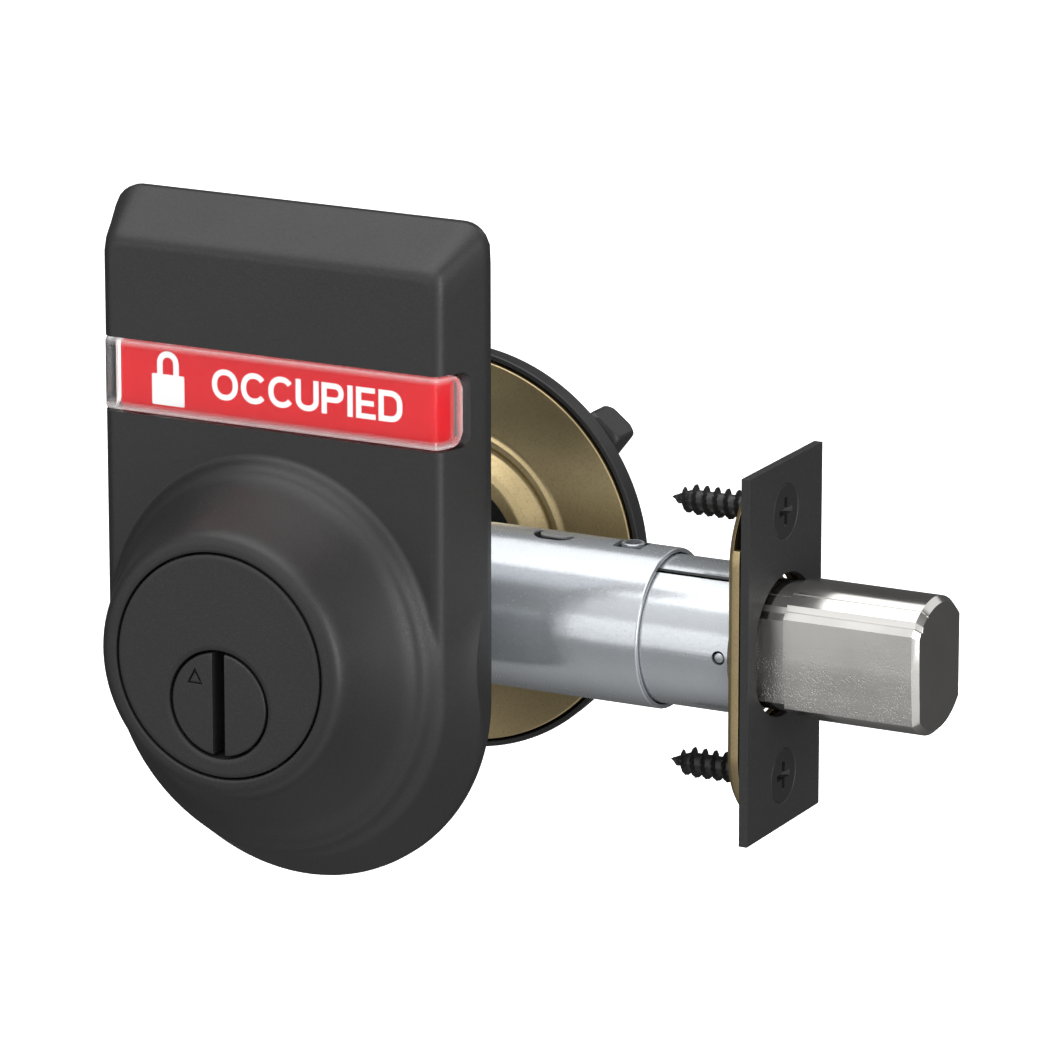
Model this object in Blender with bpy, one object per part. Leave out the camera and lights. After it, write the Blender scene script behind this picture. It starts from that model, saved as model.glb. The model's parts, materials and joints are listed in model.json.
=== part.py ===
"""Deadbolt door lock with an occupied / vacant indicator, as separate pieces.

Frame: the origin is where the bolt's axis crosses the axis of the door's cross bore. +X is the way
the bolt is thrown, -Y is the outside of the door and +Z is up. The lock is modelled locked: bolt
thrown, red panel in the window. Lengths are in millimetres and become metres when a mesh is made.
"""

import math

import bmesh
import bpy
from mathutils import Matrix, Vector

MM = 0.001
GAP = 0.3                   # clearance between pieces that touch on the real lock

# Door and bolt
OUTER_FACE = -22.2          # y of the door face that carries the escutcheon
INNER_FACE = 25.4           # y of the door face that carries the rose
BACKSET = 69.85             # cross-bore axis to the faceplate's outer face
THROW = 25.4
TURN_Z = -5.95              # height of the axis of plug, crank and turn lever

# Escutcheon
PLATE_HALF_W = 31.75
PLATE_TOP = 65.5
PLATE_BOTTOM = -39.8
EDGE_DEPTH = 1.65           # straight rim against the door
RIDGE_DEPTH = 10.3          # where the sloping sides end
PANEL_DEPTH = 11.1          # flat front panel
SIDE_DRAFT = 0.34           # slope of the sides, mm per mm of depth
HEAD_DRAFT = 0.625          # slope of head and foot, mm per mm of depth
WALL = 1.8
PILLAR_R = 2.4
BOSS_R = 27.6
BOSS_DROP = 5.2             # the boss base is an egg that reaches this much further down
BOSS_FRONT = 27.45
DISC_R = 17.2
PLUG_R = 8.0
WINDOW_LOW = 32.4
WINDOW_HIGH = 44.0
WINDOW_BACK = 4.75          # depth where the window's pocket ends on the sides
LENS_BACK = 6.3

# Indicator drive: one module, sixteen teeth, a quarter turn moves the slide one panel down
MODULE = 1.0
TEETH = 16
PITCH_R = MODULE * TEETH / 2
PANEL_H = 12.3
PANEL_PITCH = PITCH_R * math.pi / 2

# Latch
TUBE_R = 12.35
TUBE_WALL = 0.7
TUBE_REAR = -20.0
TUBE_FRONT = 51.0
SLEEVE_R = 11.4
SLEEVE_WALL = 0.5
BOLT_R = 10.6
BOLT_FLAT = 8.0
FACE_H = 57.15
FACE_W = 25.4
FACE_T = 1.4
SCREW_SPACING = 41.4
CRANK_R = THROW / (2 * math.sin(math.radians(45)))
PIN_R = 1.8
BAR_Y = (1.6, 3.2)
TAIL_W = 5.2
TAIL_T = 1.8

# Inside trim
ROSE_R = 32.7
ROSE_DEPTH = 6.3
POST_Z = 22.6
LEVER_TILT = 38.5           # from vertical, towards the bolt
LEVER_REACH = 32.2


# --- Materials ---------------------------------------------------------------------------------

def material(name, colour, roughness, metallic, alpha=1.0):
    mat = bpy.data.materials.new(name)
    mat.use_nodes = True
    shader = mat.node_tree.nodes["Principled BSDF"]
    shader.inputs["Base Color"].default_value = (*colour, 1.0)
    shader.inputs["Roughness"].default_value = roughness
    shader.inputs["Metallic"].default_value = metallic
    shader.inputs["Alpha"].default_value = alpha
    return mat


def make_materials():
    return {
        "black": material("black_paint", (0.035, 0.035, 0.036), 0.5, 0.0),
        "zinc": material("zinc_plate", (0.62, 0.65, 0.68), 0.25, 1.0),
        "brass": material("brass_plate", (0.45, 0.33, 0.15), 0.4, 1.0),
        "nickel": material("satin_nickel", (0.50, 0.48, 0.46), 0.28, 1.0),
        "steel": material("steel", (0.45, 0.46, 0.48), 0.35, 1.0),
        "bronze": material("bush_bronze", (0.35, 0.22, 0.11), 0.45, 1.0),
        "red": material("red_panel", (0.65, 0.02, 0.02), 0.45, 0.0),
        "green": material("green_panel", (0.02, 0.32, 0.08), 0.45, 0.0),
        "clear": material("clear_lens", (0.95, 0.96, 0.96), 0.05, 0.0, 0.25),
        "nylon": material("slide_nylon", (0.75, 0.75, 0.72), 0.55, 0.0),
    }


# --- Mesh tools --------------------------------------------------------------------------------

def finish_mesh(bm):
    bmesh.ops.remove_doubles(bm, verts=bm.verts, dist=1e-5)
    bmesh.ops.recalc_face_normals(bm, faces=bm.faces)
    if bm.calc_volume(signed=True) < 0:
        bmesh.ops.reverse_faces(bm, faces=bm.faces)
    return bm


def loft(rings):
    """Closed skin through rings of equally many points, capped at both ends."""
    bm = bmesh.new()
    rows = [[bm.verts.new(point) for point in ring] for ring in rings]
    count = len(rows[0])
    for low, high in zip(rows, rows[1:]):
        for i in range(count):
            j = (i + 1) % count
            bm.faces.new((low[i], low[j], high[j], high[i]))
    bm.faces.new(rows[0])
    bm.faces.new(rows[-1])
    return finish_mesh(bm)


def on_axis(axis, along, u, v):
    """A point given by its place along an axis and across it, in X, Y, Z order."""
    if axis == "X":
        return (along, u, v)
    if axis == "Y":
        return (u, along, v)
    return (u, v, along)


def prism(outline, axis, low, high):
    return loft([[on_axis(axis, end, u, v) for u, v in outline] for end in (low, high)])


def block(x, y, z):
    return prism([(y[0], z[0]), (y[1], z[0]), (y[1], z[1]), (y[0], z[1])], "X", x[0], x[1])


def turned(profile, axis, centre=(0.0, 0.0), segments=32):
    """Solid of revolution about an axis line. profile lists (along, radius) pairs; a profile that
    starts and ends at radius 0 is solid, any other is closed on itself and leaves a bore."""
    bm = bmesh.new()
    rows = []
    for along, radius in profile:
        if radius == 0:
            rows.append([bm.verts.new(on_axis(axis, along, *centre))])
            continue
        angles = [2 * math.pi * i / segments for i in range(segments)]
        rows.append([bm.verts.new(on_axis(axis, along, centre[0] + radius * math.cos(a),
                                          centre[1] + radius * math.sin(a))) for a in angles])
    pairs = list(zip(rows, rows[1:]))
    if len(rows[0]) > 1:
        pairs.append((rows[-1], rows[0]))
    for low, high in pairs:
        for i in range(segments):
            corners = [low[i % len(low)], low[(i + 1) % len(low)],
                       high[(i + 1) % len(high)], high[i % len(high)]]
            unique = [c for k, c in enumerate(corners) if c not in corners[:k]]
            bm.faces.new(unique)
    return finish_mesh(bm)


def ring(inner, outer, low, high, axis="Y", centre=(0.0, 0.0), segments=32):
    return turned([(low, inner), (low, outer), (high, outer), (high, inner)], axis, centre, segments)


def rod(radius, low, high, axis="Y", centre=(0.0, 0.0), segments=32):
    return turned([(low, 0), (low, radius), (high, radius), (high, 0)], axis, centre, segments)


def to_object(name, bm, origin=(0.0, 0.0, 0.0)):
    """Turn a mesh in millimetres into an object in metres, its origin at the given point."""
    bmesh.ops.transform(bm, matrix=Matrix.Scale(MM, 4) @ Matrix.Translation(-Vector(origin)),
                        verts=bm.verts)
    mesh = bpy.data.meshes.new(name)
    bm.to_mesh(mesh)
    bm.free()
    obj = bpy.data.objects.new(name, mesh)
    obj.location = Vector(origin) * MM
    bpy.context.collection.objects.link(obj)
    return obj


def combine(target, tool_mesh, operation="DIFFERENCE"):
    """Cut a mesh from an object, or join it on, and keep the result as the object's mesh."""
    tool = to_object("tool", tool_mesh)
    modifier = target.modifiers.new("combine", "BOOLEAN")
    modifier.object = tool
    modifier.operation = operation
    modifier.solver = "EXACT"
    bpy.context.view_layer.update()
    evaluated = target.evaluated_get(bpy.context.evaluated_depsgraph_get())
    mesh = bpy.data.meshes.new_from_object(evaluated)
    target.modifiers.remove(modifier)
    old = target.data
    target.data = mesh
    bpy.data.meshes.remove(old)
    bpy.data.objects.remove(tool)
    return target


def dress(obj, mat, smooth=True):
    """Give a piece its one material and its shading."""
    obj.data.materials.clear()
    obj.data.materials.append(mat)
    for face in obj.data.polygons:
        face.material_index = 0
    if smooth:
        obj.data.shade_smooth()
        obj.data.set_sharp_from_angle(angle=math.radians(35))
    return obj


def arc(centre, radius, start, end, steps):
    """Points on an arc, angles in degrees, both ends included."""
    angles = [math.radians(start + (end - start) * i / steps) for i in range(steps + 1)]
    return [(centre[0] + radius * math.cos(a), centre[1] + radius * math.sin(a)) for a in angles]


def depth(value):
    """y of a plane that lies this far in front of the outside door face."""
    return OUTER_FACE - value


TURN_AXIS = (0.0, TURN_Z)


# --- Escutcheon and indicator ------------------------------------------------------------------

def shield(half_w, top, bottom, corner):
    """Outline of the escutcheon: a square head with round corners on a half-round foot."""
    foot = bottom + half_w
    return (arc((0, foot), half_w, 180, 360, 24)
            + arc((half_w - corner, top - corner), corner, 0, 90, 4)
            + arc((corner - half_w, top - corner), corner, 90, 180, 4))


def shield_at(level, inset=0.0):
    """The escutcheon's section at a depth, moved inwards by an inset."""
    slope = max(0.0, min(level, RIDGE_DEPTH) - EDGE_DEPTH)
    half_w = PLATE_HALF_W - SIDE_DRAFT * slope - inset
    top = PLATE_TOP - HEAD_DRAFT * slope - inset
    bottom = PLATE_BOTTOM + HEAD_DRAFT * slope + inset
    if level > RIDGE_DEPTH:
        edge = level - RIDGE_DEPTH
        half_w, top, bottom = half_w - edge, top - edge, bottom + edge
    return shield(half_w, top, bottom, max(1.2, 4.2 - 0.15 * level - inset))


def plate_ring(level, inset=0.0, at=None):
    y = depth(level if at is None else at)
    return [(x, y, z) for x, z in shield_at(level, inset)]


def boss_ring(level, radius, egg):
    """A ring of the boss; egg goes from 1 at the base to 0 where the boss is round."""
    points = []
    for i in range(48):
        a = 2 * math.pi * i / 48
        drop = egg * BOSS_DROP * (1 - math.sin(a)) / 2
        points.append((radius * math.cos(a), depth(level), radius * math.sin(a) - drop))
    return points


def make_escutcheon(mats):
    outer = [plate_ring(0), plate_ring(EDGE_DEPTH), plate_ring(RIDGE_DEPTH), plate_ring(PANEL_DEPTH)]
    body = to_object("escutcheon", loft(outer))
    boss = [boss_ring(9.0, 28.2, 1.0), boss_ring(12.0, BOSS_R, 1.0), boss_ring(12.9, 26.7, 0.95),
            boss_ring(17.0, 24.2, 0.6), boss_ring(22.0, 21.9, 0.2), boss_ring(25.8, 20.75, 0.0),
            boss_ring(26.9, 20.2, 0.0), boss_ring(BOSS_FRONT, 19.3, 0.0)]
    combine(body, loft(boss), "UNION")
    hollow = [plate_ring(0, WALL, at=-1.0), plate_ring(EDGE_DEPTH, WALL),
              plate_ring(PANEL_DEPTH - WALL, WALL)]
    combine(body, loft(hollow))
    bore = [(depth(8.0), 0), (depth(8.0), 24.0), (depth(11.5), 24.0), (depth(20.0), 18.9),
            (depth(24.5), 18.6), (depth(24.5), DISC_R + GAP), (depth(30.0), DISC_R + GAP),
            (depth(30.0), 0)]
    combine(body, turned(bore, "Y", segments=48))
    for x, z, end in cover_screw_places():
        combine(body, rod(PILLAR_R, depth(end), depth(3.2), "Y", (x, z), 16), "UNION")
    for x, z, _ in cover_screw_places():
        combine(body, rod(1.35, depth(6.6), depth(2.0), "Y", (x, z), 12))
    window = block((-40, 40), (depth(15), depth(WINDOW_BACK)), (WINDOW_LOW, WINDOW_HIGH))
    combine(body, window)
    return dress(body, mats["black"])


def cover_screw_places():
    """x, z and pillar depth of the four screws that hold the back cover."""
    return [(20.0, 60.0, 5.5), (-20.0, 60.0, 5.5), (16.5, -25.5, 9.8), (-16.5, -25.5, 9.8)]


def wrap(offset, back):
    """Half-round-the-corner line, in x and y, a set distance inside the escutcheon's surface."""
    lean = math.hypot(1.0, SIDE_DRAFT)
    side = PLATE_HALF_W + SIDE_DRAFT * EDGE_DEPTH - offset * lean
    front = PANEL_DEPTH - offset
    corner = max(0.25, 0.8 - 0.2 * offset)
    right = [(side - SIDE_DRAFT * back, back),
             (side - SIDE_DRAFT * (front - corner), front - corner),
             (side - SIDE_DRAFT * front - corner, front)]
    line = right + [(-x, d) for x, d in reversed(right)]
    return [(x, depth(d)) for x, d in line]


def channel(name, outer, outer_back, thickness, z, mat):
    """A U-shaped strip that wraps behind the front and both sides of the escutcheon."""
    outline = wrap(outer, outer_back) + list(reversed(wrap(outer + thickness, outer_back)))
    return dress(to_object(name, prism(outline, "Z", z[0], z[1])), mat)


def make_window_lens(mats):
    channel("window_lens", 0.0, LENS_BACK, WALL, (WINDOW_LOW + GAP, WINDOW_HIGH - GAP), mats["clear"])


def make_panels(mats):
    middle = (WINDOW_LOW + WINDOW_HIGH) / 2
    panel_offset = WALL + 0.45
    for name, shift, mat in (("occupied_panel", 0.0, "red"), ("vacant_panel", PANEL_PITCH, "green")):
        low = middle + shift - (PANEL_H - 0.1) / 2
        channel(name, panel_offset, 5.6, 0.6, (low, low + PANEL_H - 0.1), mats[mat])


def rack_teeth():
    """Outline of the rack in x and z; its pitch line is at -PITCH_R and its teeth point to +X."""
    pitch = math.pi * MODULE
    face, top, root = -PITCH_R, -PITCH_R + 0.9, -PITCH_R - 1.1
    outline = []
    for k in range(-2, 6):
        z = TURN_Z + (k + 0.5) * pitch
        outline += [(root, z - 0.95), (top, z - 0.3), (top, z + 0.3), (root, z + 0.95)]
    low, high = outline[0][1] - 0.6, 34.0
    return outline + [(root, high), (face - 4.4, high), (face - 4.4, low), (root, low)]


def make_indicator_slide(mats):
    middle = (WINDOW_LOW + WINDOW_HIGH) / 2
    low = middle - PANEL_H / 2
    high = low + PANEL_H + PANEL_PITCH
    inner = WALL + 0.45 + 0.6 + GAP
    slide = channel("indicator_slide", inner, 6.0, 1.1, (low, high), mats["nylon"])
    combine(slide, block((-12.4, -PITCH_R - 1.0), (depth(7.4), depth(4.4)), (low + 0.5, 44.0)), "UNION")
    combine(slide, prism(rack_teeth(), "Y", depth(6.1), depth(3.6)), "UNION")
    return dress(slide, mats["nylon"])


# --- Outside cylinder --------------------------------------------------------------------------

def make_cylinder_housing(mats):
    profile = [(depth(9.0), 0), (depth(9.0), 15.0), (depth(19.6), 15.0), (depth(19.6), 18.2),
               (depth(24.2), 18.2), (depth(24.2), DISC_R), (depth(27.2), DISC_R),
               (depth(BOSS_FRONT), DISC_R - 0.25), (depth(BOSS_FRONT), 0)]
    body = to_object("cylinder_housing", turned(profile, "Y", segments=48))
    bore = [(depth(8.0), 0), (depth(8.0), 7.5), (depth(23.2), 7.5), (depth(23.2), PLUG_R + GAP),
            (depth(30.0), PLUG_R + GAP), (depth(30.0), 0)]
    combine(body, turned(bore, "Y", TURN_AXIS, 36))
    return dress(body, mats["black"])


def make_coin_plug(mats):
    origin = (0.0, depth(BOSS_FRONT), TURN_Z)
    profile = [(depth(6.8), 0), (depth(6.8), 4.6), (depth(8.7), 4.6), (depth(8.7), 7.2),
               (depth(23.6), 7.2), (depth(24.3), PLUG_R), (depth(27.2), PLUG_R),
               (depth(BOSS_FRONT), PLUG_R - 0.2), (depth(BOSS_FRONT), 0)]
    plug = to_object("coin_plug", turned(profile, "Y", TURN_AXIS, 36), origin)
    coin_slot = block((-1.05, 1.05), (depth(30), depth(23.2)), (TURN_Z - 10, TURN_Z + 10))
    combine(plug, coin_slot)
    combine(plug, tail_slot(depth(11.0), depth(6.0)))
    return dress(plug, mats["black"])


def tail_slot(low, high):
    """Cutter for the slot that the tailpiece sits in; the bar stands on edge."""
    t, w = TAIL_T / 2 + GAP, TAIL_W / 2 + GAP
    return block((-t, t), (low, high), (TURN_Z - w, TURN_Z + w))


def make_plug_retainer(mats):
    body = ring(4.9, 8.4, depth(8.4), depth(7.8), "Y", TURN_AXIS, 28)
    return dress(to_object("plug_retainer", body, (0.0, depth(8.1), TURN_Z)), mats["steel"])


def make_drive_gear(mats):
    tip, root = PITCH_R + 0.85, PITCH_R - 1.15
    outline = []
    for k in range(TEETH):
        centre = 2 * math.pi * k / TEETH
        for radius, half in ((root, 1.0), (PITCH_R, 0.6), (tip, 0.3)):
            a = centre - half / radius
            outline.append((radius * math.cos(a), TURN_Z + radius * math.sin(a)))
        for radius, half in ((tip, 0.3), (PITCH_R, 0.6), (root, 1.0)):
            a = centre + half / radius
            outline.append((radius * math.cos(a), TURN_Z + radius * math.sin(a)))
    gear = to_object("drive_gear", prism(outline, "Y", depth(6.3), depth(3.4)),
                     (0.0, depth(4.85), TURN_Z))
    combine(gear, tail_slot(depth(8.0), depth(2.0)))
    return dress(gear, mats["nylon"])


def make_back_cover(mats):
    rings = [[(x, depth(d), z) for x, z in shield(29.2, 62.7, -37.0, 2.2)] for d in (1.3, 2.7)]
    cover = to_object("back_cover", loft(rings))
    combine(cover, rod(6.2, depth(4), depth(0), "Y", TURN_AXIS, 28))
    for x, z, _ in cover_screw_places():
        combine(cover, rod(1.45, depth(4), depth(0), "Y", (x, z), 12))
    for z in (POST_Z, -POST_Z):
        combine(cover, rod(2.7, depth(4), depth(0), "Y", (0.0, z), 16))
    return dress(cover, mats["zinc"])


def make_cover_screws(mats):
    for number, (x, z, _) in enumerate(cover_screw_places(), 1):
        profile = [(depth(6.2), 0), (depth(5.6), 1.0), (depth(1.0), 1.0), (depth(1.0), 2.3),
                   (depth(0.35), 2.0), (depth(0.35), 0)]
        screw = to_object(f"cover_screw_{number}", turned(profile, "Y", (x, z), 16))
        dress(screw, mats["steel"])


def make_mounting_posts(mats):
    for name, z in (("mounting_post_upper", POST_Z), ("mounting_post_lower", -POST_Z)):
        profile = [(depth(2.9), 0), (depth(2.9), 2.4), (depth(1.0), 2.4), (depth(1.0), 4.0),
                   (depth(-17.5), 4.0), (depth(-18.0), 3.6), (depth(-18.0), 2.3), (depth(-4.0), 2.3),
                   (depth(-3.0), 0)]
        dress(to_object(name, turned(profile, "Y", (0.0, z), 20)), mats["steel"])


# --- Latch -------------------------------------------------------------------------------------

def bolt_section(radius, flat, groove=0.0):
    """Bolt section in y and z: a round bar with two flats and a shallow groove along its top."""
    side = math.degrees(math.acos(flat / radius))
    top = arc((0, 0), radius, side, 180 - side, 16)
    bottom = arc((0, 0), radius, 180 + side, 360 - side, 16)
    if groove:
        kept = []
        for y, z in top:
            keep = radius if not -6.4 < y < -0.4 else radius - groove
            scale = keep / math.hypot(y, z)
            kept.append((y * scale, z * scale))
        top = kept
    return top + bottom


def make_bolt_head(mats):
    end = BACKSET + THROW
    full = bolt_section(BOLT_R, BOLT_FLAT, 0.45)
    small = [(y * 0.92, z * 0.93) for y, z in full]
    rings = [[(55.0, y, z) for y, z in full], [(end - 0.85, y, z) for y, z in full],
             [(end, y, z) for y, z in small]]
    bolt = to_object("bolt_head", loft(rings))
    combine(bolt, rod(3.3, 50.0, 84.0, "X", (0.0, -4.6), 20))
    combine(bolt, block((50.0, 64.0), (BAR_Y[0] - GAP, BAR_Y[1] + GAP), (1.2, 6.8)))
    combine(bolt, rod(1.3, -12, 12, "Y", (60.0, 4.0), 14))
    return dress(bolt, mats["nickel"])


def make_anti_saw_pin(mats):
    profile = [(57.0, 0), (57.0, 2.7), (57.4, 3.0), (83.2, 3.0), (83.6, 2.7), (83.6, 0)]
    dress(to_object("anti_saw_pin", turned(profile, "X", (0.0, -4.6), 20)), mats["steel"])


def make_drive_bar(mats):
    """Flat bar from the bolt to the crank pin; its fork is open upwards around the pin."""
    pin_x = THROW / 2
    half = PIN_R + 0.85
    outline = [(63.4, 1.6), (63.4, 6.4), (20.6, 6.4), (pin_x + half + 2.4, 8.4),
               (pin_x + half + 2.4, 13.2), (pin_x + half, 13.2), (pin_x + half, 4.4),
               (pin_x - half, 4.4), (pin_x - half, 13.2), (pin_x - half - 2.4, 13.2),
               (pin_x - half - 2.4, 1.6)]
    bar = to_object("drive_bar", prism(outline, "Y", *BAR_Y))
    combine(bar, rod(1.3, 0, 6, "Y", (60.0, 4.0), 14))
    return dress(bar, mats["steel"])


def make_drive_rivet(mats):
    side = math.sqrt(BOLT_R ** 2 - 4.0 ** 2)
    reach = min(BOLT_FLAT, side) - 0.5
    dress(to_object("drive_rivet", rod(1.0, -reach, reach, "Y", (60.0, 4.0), 14)), mats["steel"])


def make_crank(mats):
    """Hub with journals for the two bushes, an arm up to the drive bar and the pin in its fork."""
    origin = (0.0, 0.0, TURN_Z)
    hub = turned([(-13.2, 0), (-13.2, 3.8), (-7.2, 3.8), (-7.2, 5.0), (7.2, 5.0), (7.2, 3.8),
                  (13.2, 3.8), (13.2, 0)], "Y", TURN_AXIS, 28)
    crank = to_object("crank", hub, origin)
    tilt = math.radians(45)
    pin = (CRANK_R * math.sin(tilt), TURN_Z + CRANK_R * math.cos(tilt))
    outline = arc(pin, 2.8, -45, 135, 8) + arc(TURN_AXIS, 4.4, 135, 315, 8)
    combine(crank, prism(outline, "Y", -1.2, 1.2), "UNION")
    combine(crank, rod(PIN_R, 0.0, 4.4, "Y", pin, 20), "UNION")
    combine(crank, tail_slot(-14, 14))
    return dress(crank, mats["steel"])


def make_hub_bushes(mats):
    for name, sign in (("hub_bush_outside", -1), ("hub_bush_inside", 1)):
        profile = [(sign * 7.6, 4.1), (sign * 7.6, 5.0), (sign * 12.7, 5.0), (sign * 12.7, 6.0),
                   (sign * 13.4, 6.0), (sign * 13.4, 4.1)]
        dress(to_object(name, turned(profile, "Y", TURN_AXIS, 28)), mats["bronze"])


def make_tailpiece(mats):
    """Flat steel bar, on edge, from the coin plug through the crank to the turn spindle."""
    t, w = TAIL_T / 2, TAIL_W / 2
    bar = block((-t, t), (depth(10.6), INNER_FACE + 9.0), (TURN_Z - w, TURN_Z + w))
    dress(to_object("tailpiece", bar, (0.0, 0.0, TURN_Z)), mats["steel"])


def make_latch_tube(mats):
    inner = TUBE_R - TUBE_WALL
    profile = [(TUBE_REAR, inner), (TUBE_REAR, TUBE_R), (TUBE_FRONT - 0.9, TUBE_R),
               (TUBE_FRONT - 0.25, TUBE_R - 0.15), (TUBE_FRONT, TUBE_R - 0.45),
               (TUBE_FRONT, SLEEVE_R + 0.25), (TUBE_FRONT - 0.7, SLEEVE_R + 0.25)]
    tube = to_object("latch_tube", turned(profile, "X", segments=40))
    combine(tube, rod(5.3, -14, 14, "Y", TURN_AXIS, 28))
    combine(tube, block((-21, 18.8), (-3.0, 5.2), (2, 14)))
    combine(tube, block((27.6, 28.4), (-4.5, 0.5), (9, 14)))
    combine(tube, rod(1.7, 10, 14, "Z", (43.8, -0.5), 16))
    return dress(tube, mats["zinc"])


def make_bolt_sleeve(mats):
    """Thin inner tube with two lengthwise slits, held in the backplate."""
    inner = SLEEVE_R - SLEEVE_WALL
    profile = [(46.5, inner), (46.5, SLEEVE_R), (65.7, SLEEVE_R), (65.7, inner)]
    sleeve = to_object("bolt_sleeve", turned(profile, "X", segments=40))
    for angle, start in ((21, 45.0), (159, 60.0)):
        slit = block((start, 65.0), (-0.6, 0.6), (9, 13))
        bmesh.ops.rotate(slit, verts=slit.verts, cent=(0, 0, 0),
                         matrix=Matrix.Rotation(math.radians(angle), 3, "X"))
        combine(sleeve, slit)
    combine(sleeve, rod(1.1, -13, -9, "Y", (64.2, 0.0), 14))
    return dress(sleeve, mats["zinc"])


def make_guide_pin(mats):
    dress(to_object("guide_pin", rod(0.8, -11.6, -8.3, "Y", (64.2, 0.0), 14)), mats["steel"])


def make_latch_backplate(mats):
    """Dished brass plate behind the faceplate: round-ended, its rim cut away at the top."""
    back, front, rim = BACKSET - FACE_T - 2.4, BACKSET - FACE_T - GAP, 1.0
    half = FACE_W / 2 - 0.15

    def stadium(radius, straight):
        return arc((0, straight), radius, 0, 180, 14) + arc((0, -straight), radius, 180, 360, 14)

    rings = [[(x, y, z) for y, z in stadium(half - inset, 14.6)]
             for x, inset in ((back, 0.9), (back + 0.5, 0.25), (back + 1.0, 0.0), (front, 0.0))]
    plate = to_object("latch_backplate", loft(rings))
    dish = [[(x, y, z) for y, z in stadium(half - rim, 14.6)] for x in (back + 1.0, front + 1.0)]
    combine(plate, loft(dish))
    combine(plate, block((back + 1.0, front + 1.0), (-14, 14), (17.2, 30)))
    combine(plate, rod(SLEEVE_R + 0.25, back - 1, front + 1, "X", segments=40))
    for z in (SCREW_SPACING / 2, -SCREW_SPACING / 2):
        combine(plate, rod(2.7, back - 1, front + 1, "X", (0.0, z), 20))
    return dress(plate, mats["brass"])


def make_faceplate(mats):
    x = (BACKSET - FACE_T, BACKSET)
    plate = to_object("faceplate", block(x, (-FACE_W / 2, FACE_W / 2), (-FACE_H / 2, FACE_H / 2)))
    hole = bolt_section(BOLT_R + 0.3, BOLT_FLAT + 0.3)
    combine(plate, prism(hole, "X", x[0] - 1, x[1] + 1))
    for z in (SCREW_SPACING / 2, -SCREW_SPACING / 2):
        cone = [(x[0] - 1, 0), (x[0] - 1, 2.3), (x[0] + 0.15, 3.0), (x[1] + 0.1, 4.55),
                (x[1] + 0.1, 0)]
        combine(plate, turned(cone, "X", (0.0, z), 24))
    return dress(plate, mats["black"])


def make_wood_screws(mats):
    """Flat-head wood screws; the thread is a run of rings, one per pitch."""
    pitch, tip = 1.78, BACKSET - 19.0
    profile = [(tip, 0), (tip + 3.0, 1.25), (tip + 3.4, 1.35)]
    place = tip + 4.3
    while place < BACKSET - 4.2:
        profile += [(place - 0.45, 1.5), (place, 2.05), (place + 0.45, 1.5)]
        place += pitch
    profile += [(BACKSET - 3.0, 1.9), (BACKSET - 1.35, 2.45), (BACKSET - 0.1, 4.2),
                (BACKSET - 0.05, 0)]
    for name, z in (("wood_screw_upper", SCREW_SPACING / 2), ("wood_screw_lower", -SCREW_SPACING / 2)):
        screw = to_object(name, turned(profile, "X", (0.0, z), 20))
        for half_y, half_z in ((0.45, 2.1), (2.1, 0.45)):
            recess = block((BACKSET - 1.6, BACKSET + 1), (-half_y, half_y), (z - half_z, z + half_z))
            combine(screw, recess)
        dress(screw, mats["black"])


# --- Inside trim -------------------------------------------------------------------------------

def make_mounting_plate(mats):
    """Brass plate against the inside door face, with a raised collar that centres it in the bore."""
    face = INNER_FACE
    profile = [(face, 31.4), (face, 19.6), (face - 0.45, 19.2), (face - 0.45, 18.6),
               (face - 0.1, 18.0), (face - 2.4, 15.4), (face - 3.0, 14.2), (face - 3.0, 12.6),
               (face - 1.5, 12.6), (face - 1.5, 14.0), (face - 0.9, 14.8), (face + 1.5, 17.6),
               (face + 1.5, 31.4)]
    plate = to_object("mounting_plate", turned(profile, "Y", segments=52))
    for z in (POST_Z, -POST_Z):
        combine(plate, rod(2.5, face - 2.2, face + 3.3, "Y", (0.0, z), 18))
    return dress(plate, mats["brass"])


def make_rose(mats):
    face = INNER_FACE
    outer = [(face + 0.3, ROSE_R), (face + 3.9, ROSE_R - 0.2), (face + 4.9, ROSE_R - 0.9),
             (face + 5.4, ROSE_R - 2.4), (face + ROSE_DEPTH, 22.0), (face + 6.7, 8.0),
             (face + 6.7, 0)]
    inner = [(face - 0.5, 0), (face - 0.5, 31.8), (face + 1.9, 31.8), (face + 3.4, 31.0),
             (face + 4.2, 22.0), (face + 5.0, 8.0), (face + 5.0, 0)]
    start = (face + 0.3, 0)
    rose = to_object("rose", turned([start] + outer, "Y", segments=56))
    combine(rose, turned(inner, "Y", segments=56))
    combine(rose, ring(6.6, 9.6, face + 5.6, face + 8.0, "Y", TURN_AXIS, 32), "UNION")
    combine(rose, rod(6.6, face, face + 12, "Y", TURN_AXIS, 32))
    return dress(rose, mats["black"])


def make_turn_spindle(mats):
    """Steel spindle that joins the tailpiece to the turn lever; its flange stops it pulling out."""
    face = INNER_FACE
    profile = [(face + 1.0, 0), (face + 1.0, 5.4), (face + 1.9, 5.4), (face + 1.9, 8.6),
               (face + 2.9, 8.6), (face + 2.9, 6.2), (face + 8.6, 6.2), (face + 8.6, 4.0),
               (face + 13.0, 4.0), (face + 13.0, 0)]
    spindle = to_object("turn_spindle", turned(profile, "Y", TURN_AXIS, 32), (0.0, face, TURN_Z))
    combine(spindle, tail_slot(face, face + 9.4))
    return dress(spindle, mats["steel"])


def make_spring_washer(mats):
    face = INNER_FACE
    body = ring(6.5, 8.3, face + 3.2, face + 3.6, "Y", TURN_AXIS, 28)
    dress(to_object("spring_washer", body), mats["steel"])


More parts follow.
